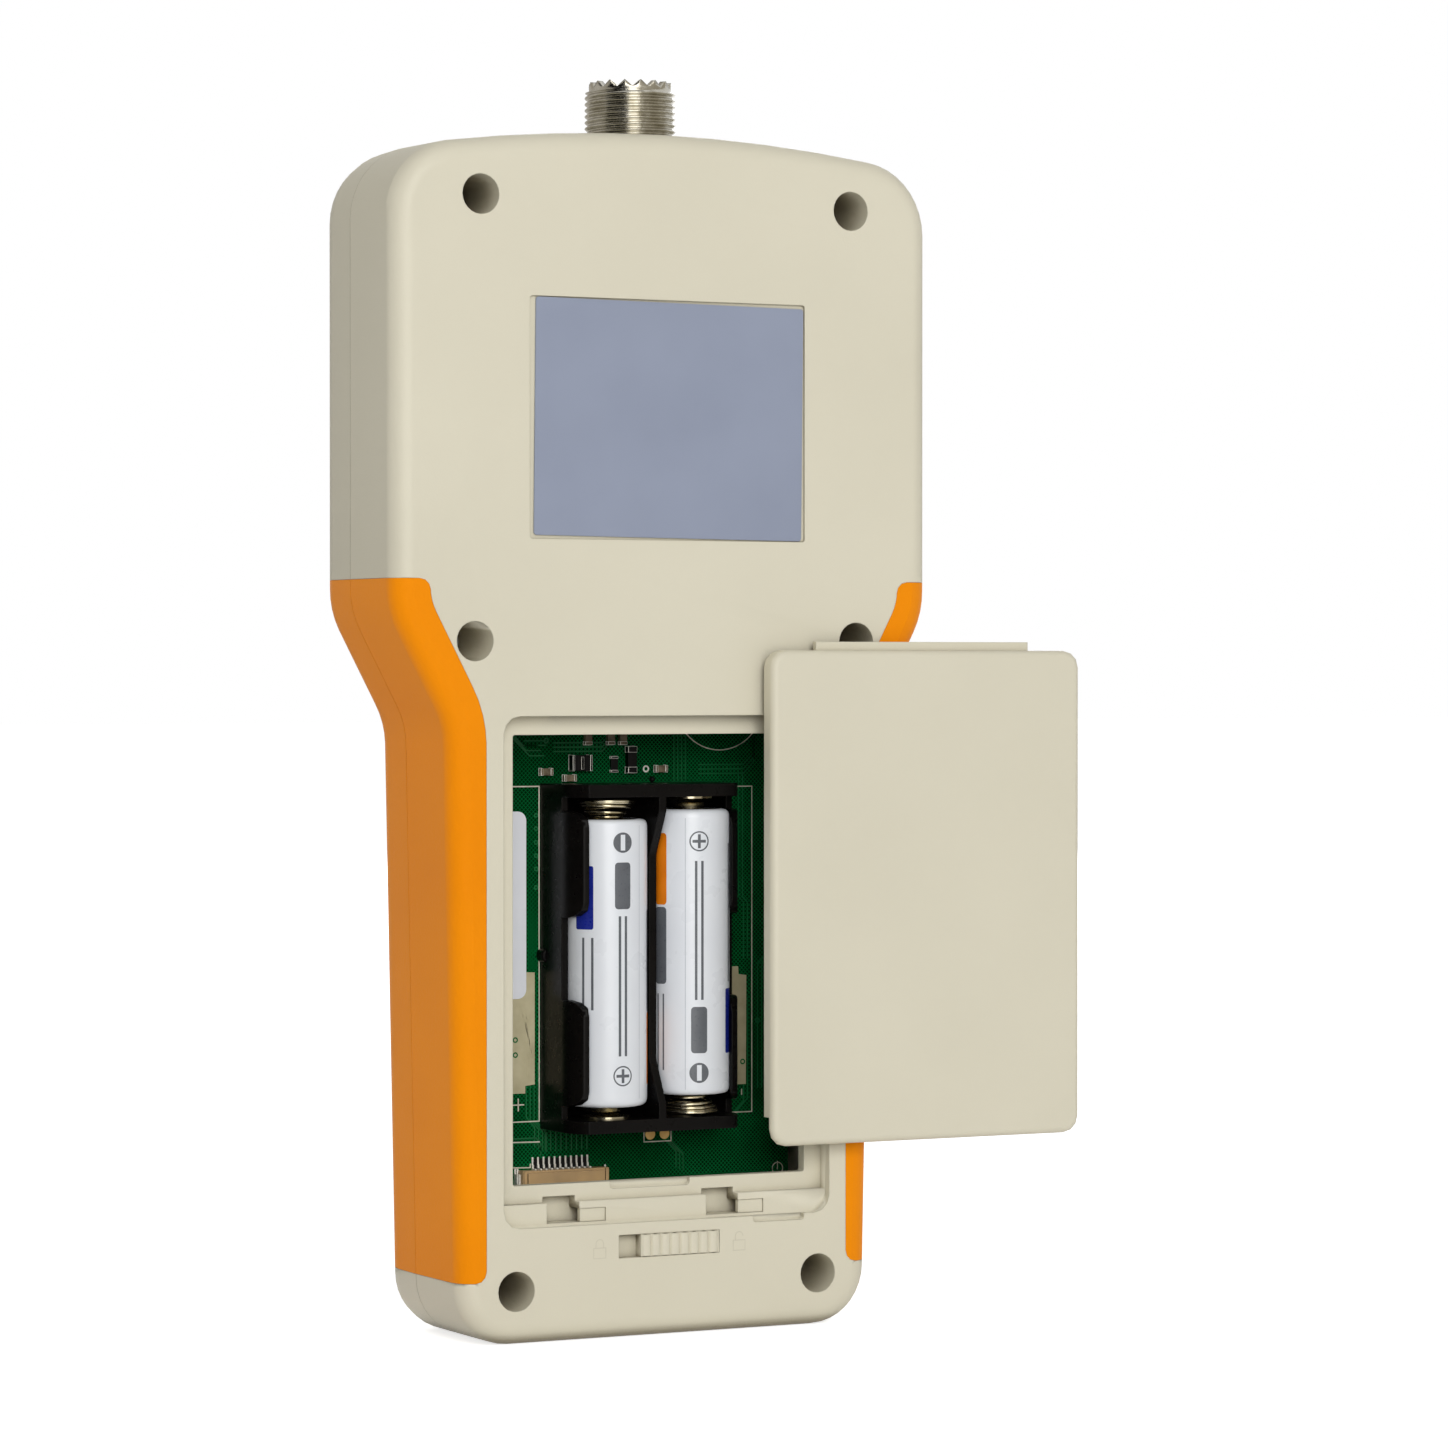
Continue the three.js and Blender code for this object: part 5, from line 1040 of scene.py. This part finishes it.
def buildSign(name, sides, turn, body, centre):
    x, depth, z = (place / mm for place in centre)
    turns = [radians(90 + turn + 360 * k / sides) for k in range(sides)]
    points = [(x + keyLegends["reach"] * cos(a), z + keyLegends["reach"] * sin(a)) for a in turns]
    depths = (depth - keyLegends["rise"], depth + keyLegends["rise"])
    bm = bmesh.new()
    if sides == 3:
        addSlab(bm, points, *depths)
    else:
        addLine(bm, points, keyLegends["line"], *depths, closed=True)
    finishPiece(name, bm, ["keyInk"], body)


for index, key in enumerate(sorted(nodeFinish["keyRubber"])):
    name = "legend_%02d" % (index + 1)
    low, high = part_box(key)
    centre = ((low[0] + high[0]) / 2, low[1], (low[2] + high[2]) / 2)
    if index in keyLegends["signs"]:
        buildSign(name, *keyLegends["signs"][index], key + "_body", centre)
    else:
        buildNumber(name, keyLegends["numbers"][index], key + "_body", centre)
print("key legends made")

# floor, light and camera

stageLook = {
    "floor": (rgb(247, 247, 247), rgb(245, 245, 245)), "mottle": 0.4, "roughness": 0.9, "reach": 9.0,
    "cameraGlow": 0.72, "ambient": 0.35,
}


def buildFloor():
    bm = bmesh.new()
    reach = stageLook["reach"]
    corners = (-reach, -reach), (reach, -reach), (reach, reach), (-reach, reach)
    bm.faces.new([bm.verts.new((x, y, 0)) for x, y in corners])
    paint, shader = startMaterial("floorPaper")
    tone = mixColours(paint, noise(paint, stageLook["mottle"]), *stageLook["floor"])
    wire(paint, tone, shader.inputs["Base Color"])
    setInputs(shader, {"Roughness": stageLook["roughness"], "Specular IOR Level": 0})
    setInputs(shader, {"Emission Color": (1, 1, 1, 1)})
    glow = maths(paint, "MULTIPLY", seenRays(paint), stageLook["cameraGlow"])
    wire(paint, glow, shader.inputs["Emission Strength"])
    floor = placeObject("floor", meshFrom("floor", bm, [paint]))


def buildWorld():
    world = bpy.data.worlds.new("studio")
    bpy.context.scene.world = world
    world.use_nodes = True
    background = world.node_tree.nodes["Background"]
    setInputs(background, {"Color": (1, 1, 1, 1)})
    strength = remap(world, seenRays(world), 0, 1, stageLook["ambient"], 1)
    wire(world, strength, background.inputs["Strength"])


cards = {
    # painted reflections, glowing sheets seen in the bright metal only: azimuth from, azimuth to, distance,
    # height, tone and its strength
    "shadeCard": (-116, -4, 1.6, 2.2, rgb(205, 201, 194), 1.0),
    "darkCard": (-4, 60, 1.6, 3.4, rgb(4, 4, 5), 1.0),
    "brightCard": (60, 88, 1.6, 2.2, rgb(255, 252, 245), 2.8),
    "greyCard": (88, 176, 1.6, 2.2, rgb(190, 184, 170), 1.0),
}
cardShape = {"steps": 12, "inward": (0.1, 0.4), "clear": 0.001}


def buildCards():
    (floorIn, topIn), low = cardShape["inward"], cardShape["clear"]
    for name, (start, end, distance, height, tone, strength) in cards.items():
        # each sheet glows with its tone: a painted reflection for the metal
        paint, shader = startMaterial(name + "Cloth")
        setInputs(shader, {"Emission Color": tone, "Emission Strength": strength})
        setInputs(shader, {"Base Color": (0, 0, 0, 1), "Specular IOR Level": 0})
        bm = bmesh.new()
        rows = []
        for k in range(cardShape["steps"] + 1):
            angle = radians(start + (end - start) * k / cardShape["steps"])
            x, y = distance * cos(angle), distance * sin(angle)
            profile = (floorIn, low), (1, low), (1, height), (topIn, height)
            rows.append([bm.verts.new((share * x, share * y, z)) for share, z in profile])
        skinRings(bm, rows, False)
        card = placeObject(name, meshFrom(name, bm, [paint]))
        card.visible_camera = card.visible_diffuse = card.visible_shadow = False


lamps = {
    # place, aim, width, height, watts
    "key": ((0.52, 1.89, 0.78), (0, 0, 0.1), 1.1, 1.1, 24.2),
    "fill": ((-0.7, -1.9, 0.8), (0, 0, 0.1), 1.2, 1.2, 15.0),
}


def buildLamps():
    for name, (place, aim, wide, tall, watts) in lamps.items():
        lamp = bpy.data.lights.new(name, "AREA")
        lamp.shape = "RECTANGLE"
        lamp.size, lamp.size_y = wide, tall
        lamp.energy = watts
        light = placeObject(name, lamp)
        light.location = place
        light.rotation_euler = (Vector(aim) - Vector(place)).to_track_quat("-Z", "Y").to_euler()


view = {
    "place": (0.3885, 0.7805, 0.11415), "forward": (-0.46172, -0.88696, -0.01077),
    "lens": 124.9, "sensor": 36.0, "clip": (0.01, 50),
}


def buildCamera():
    lensData = bpy.data.cameras.new("camera")
    lensData.lens, lensData.sensor_width = view["lens"], view["sensor"]
    lensData.clip_start, lensData.clip_end = view["clip"]
    camera = placeObject("camera", lensData)
    camera.location = view["place"]
    camera.rotation_euler = Vector(view["forward"]).to_track_quat("-Z", "Y").to_euler()
    bpy.context.scene.camera = camera


buildFloor()
buildWorld()
buildCards()
buildLamps()
buildCamera()
bpy.context.scene.view_settings.view_transform = "Standard"
print("stage set")
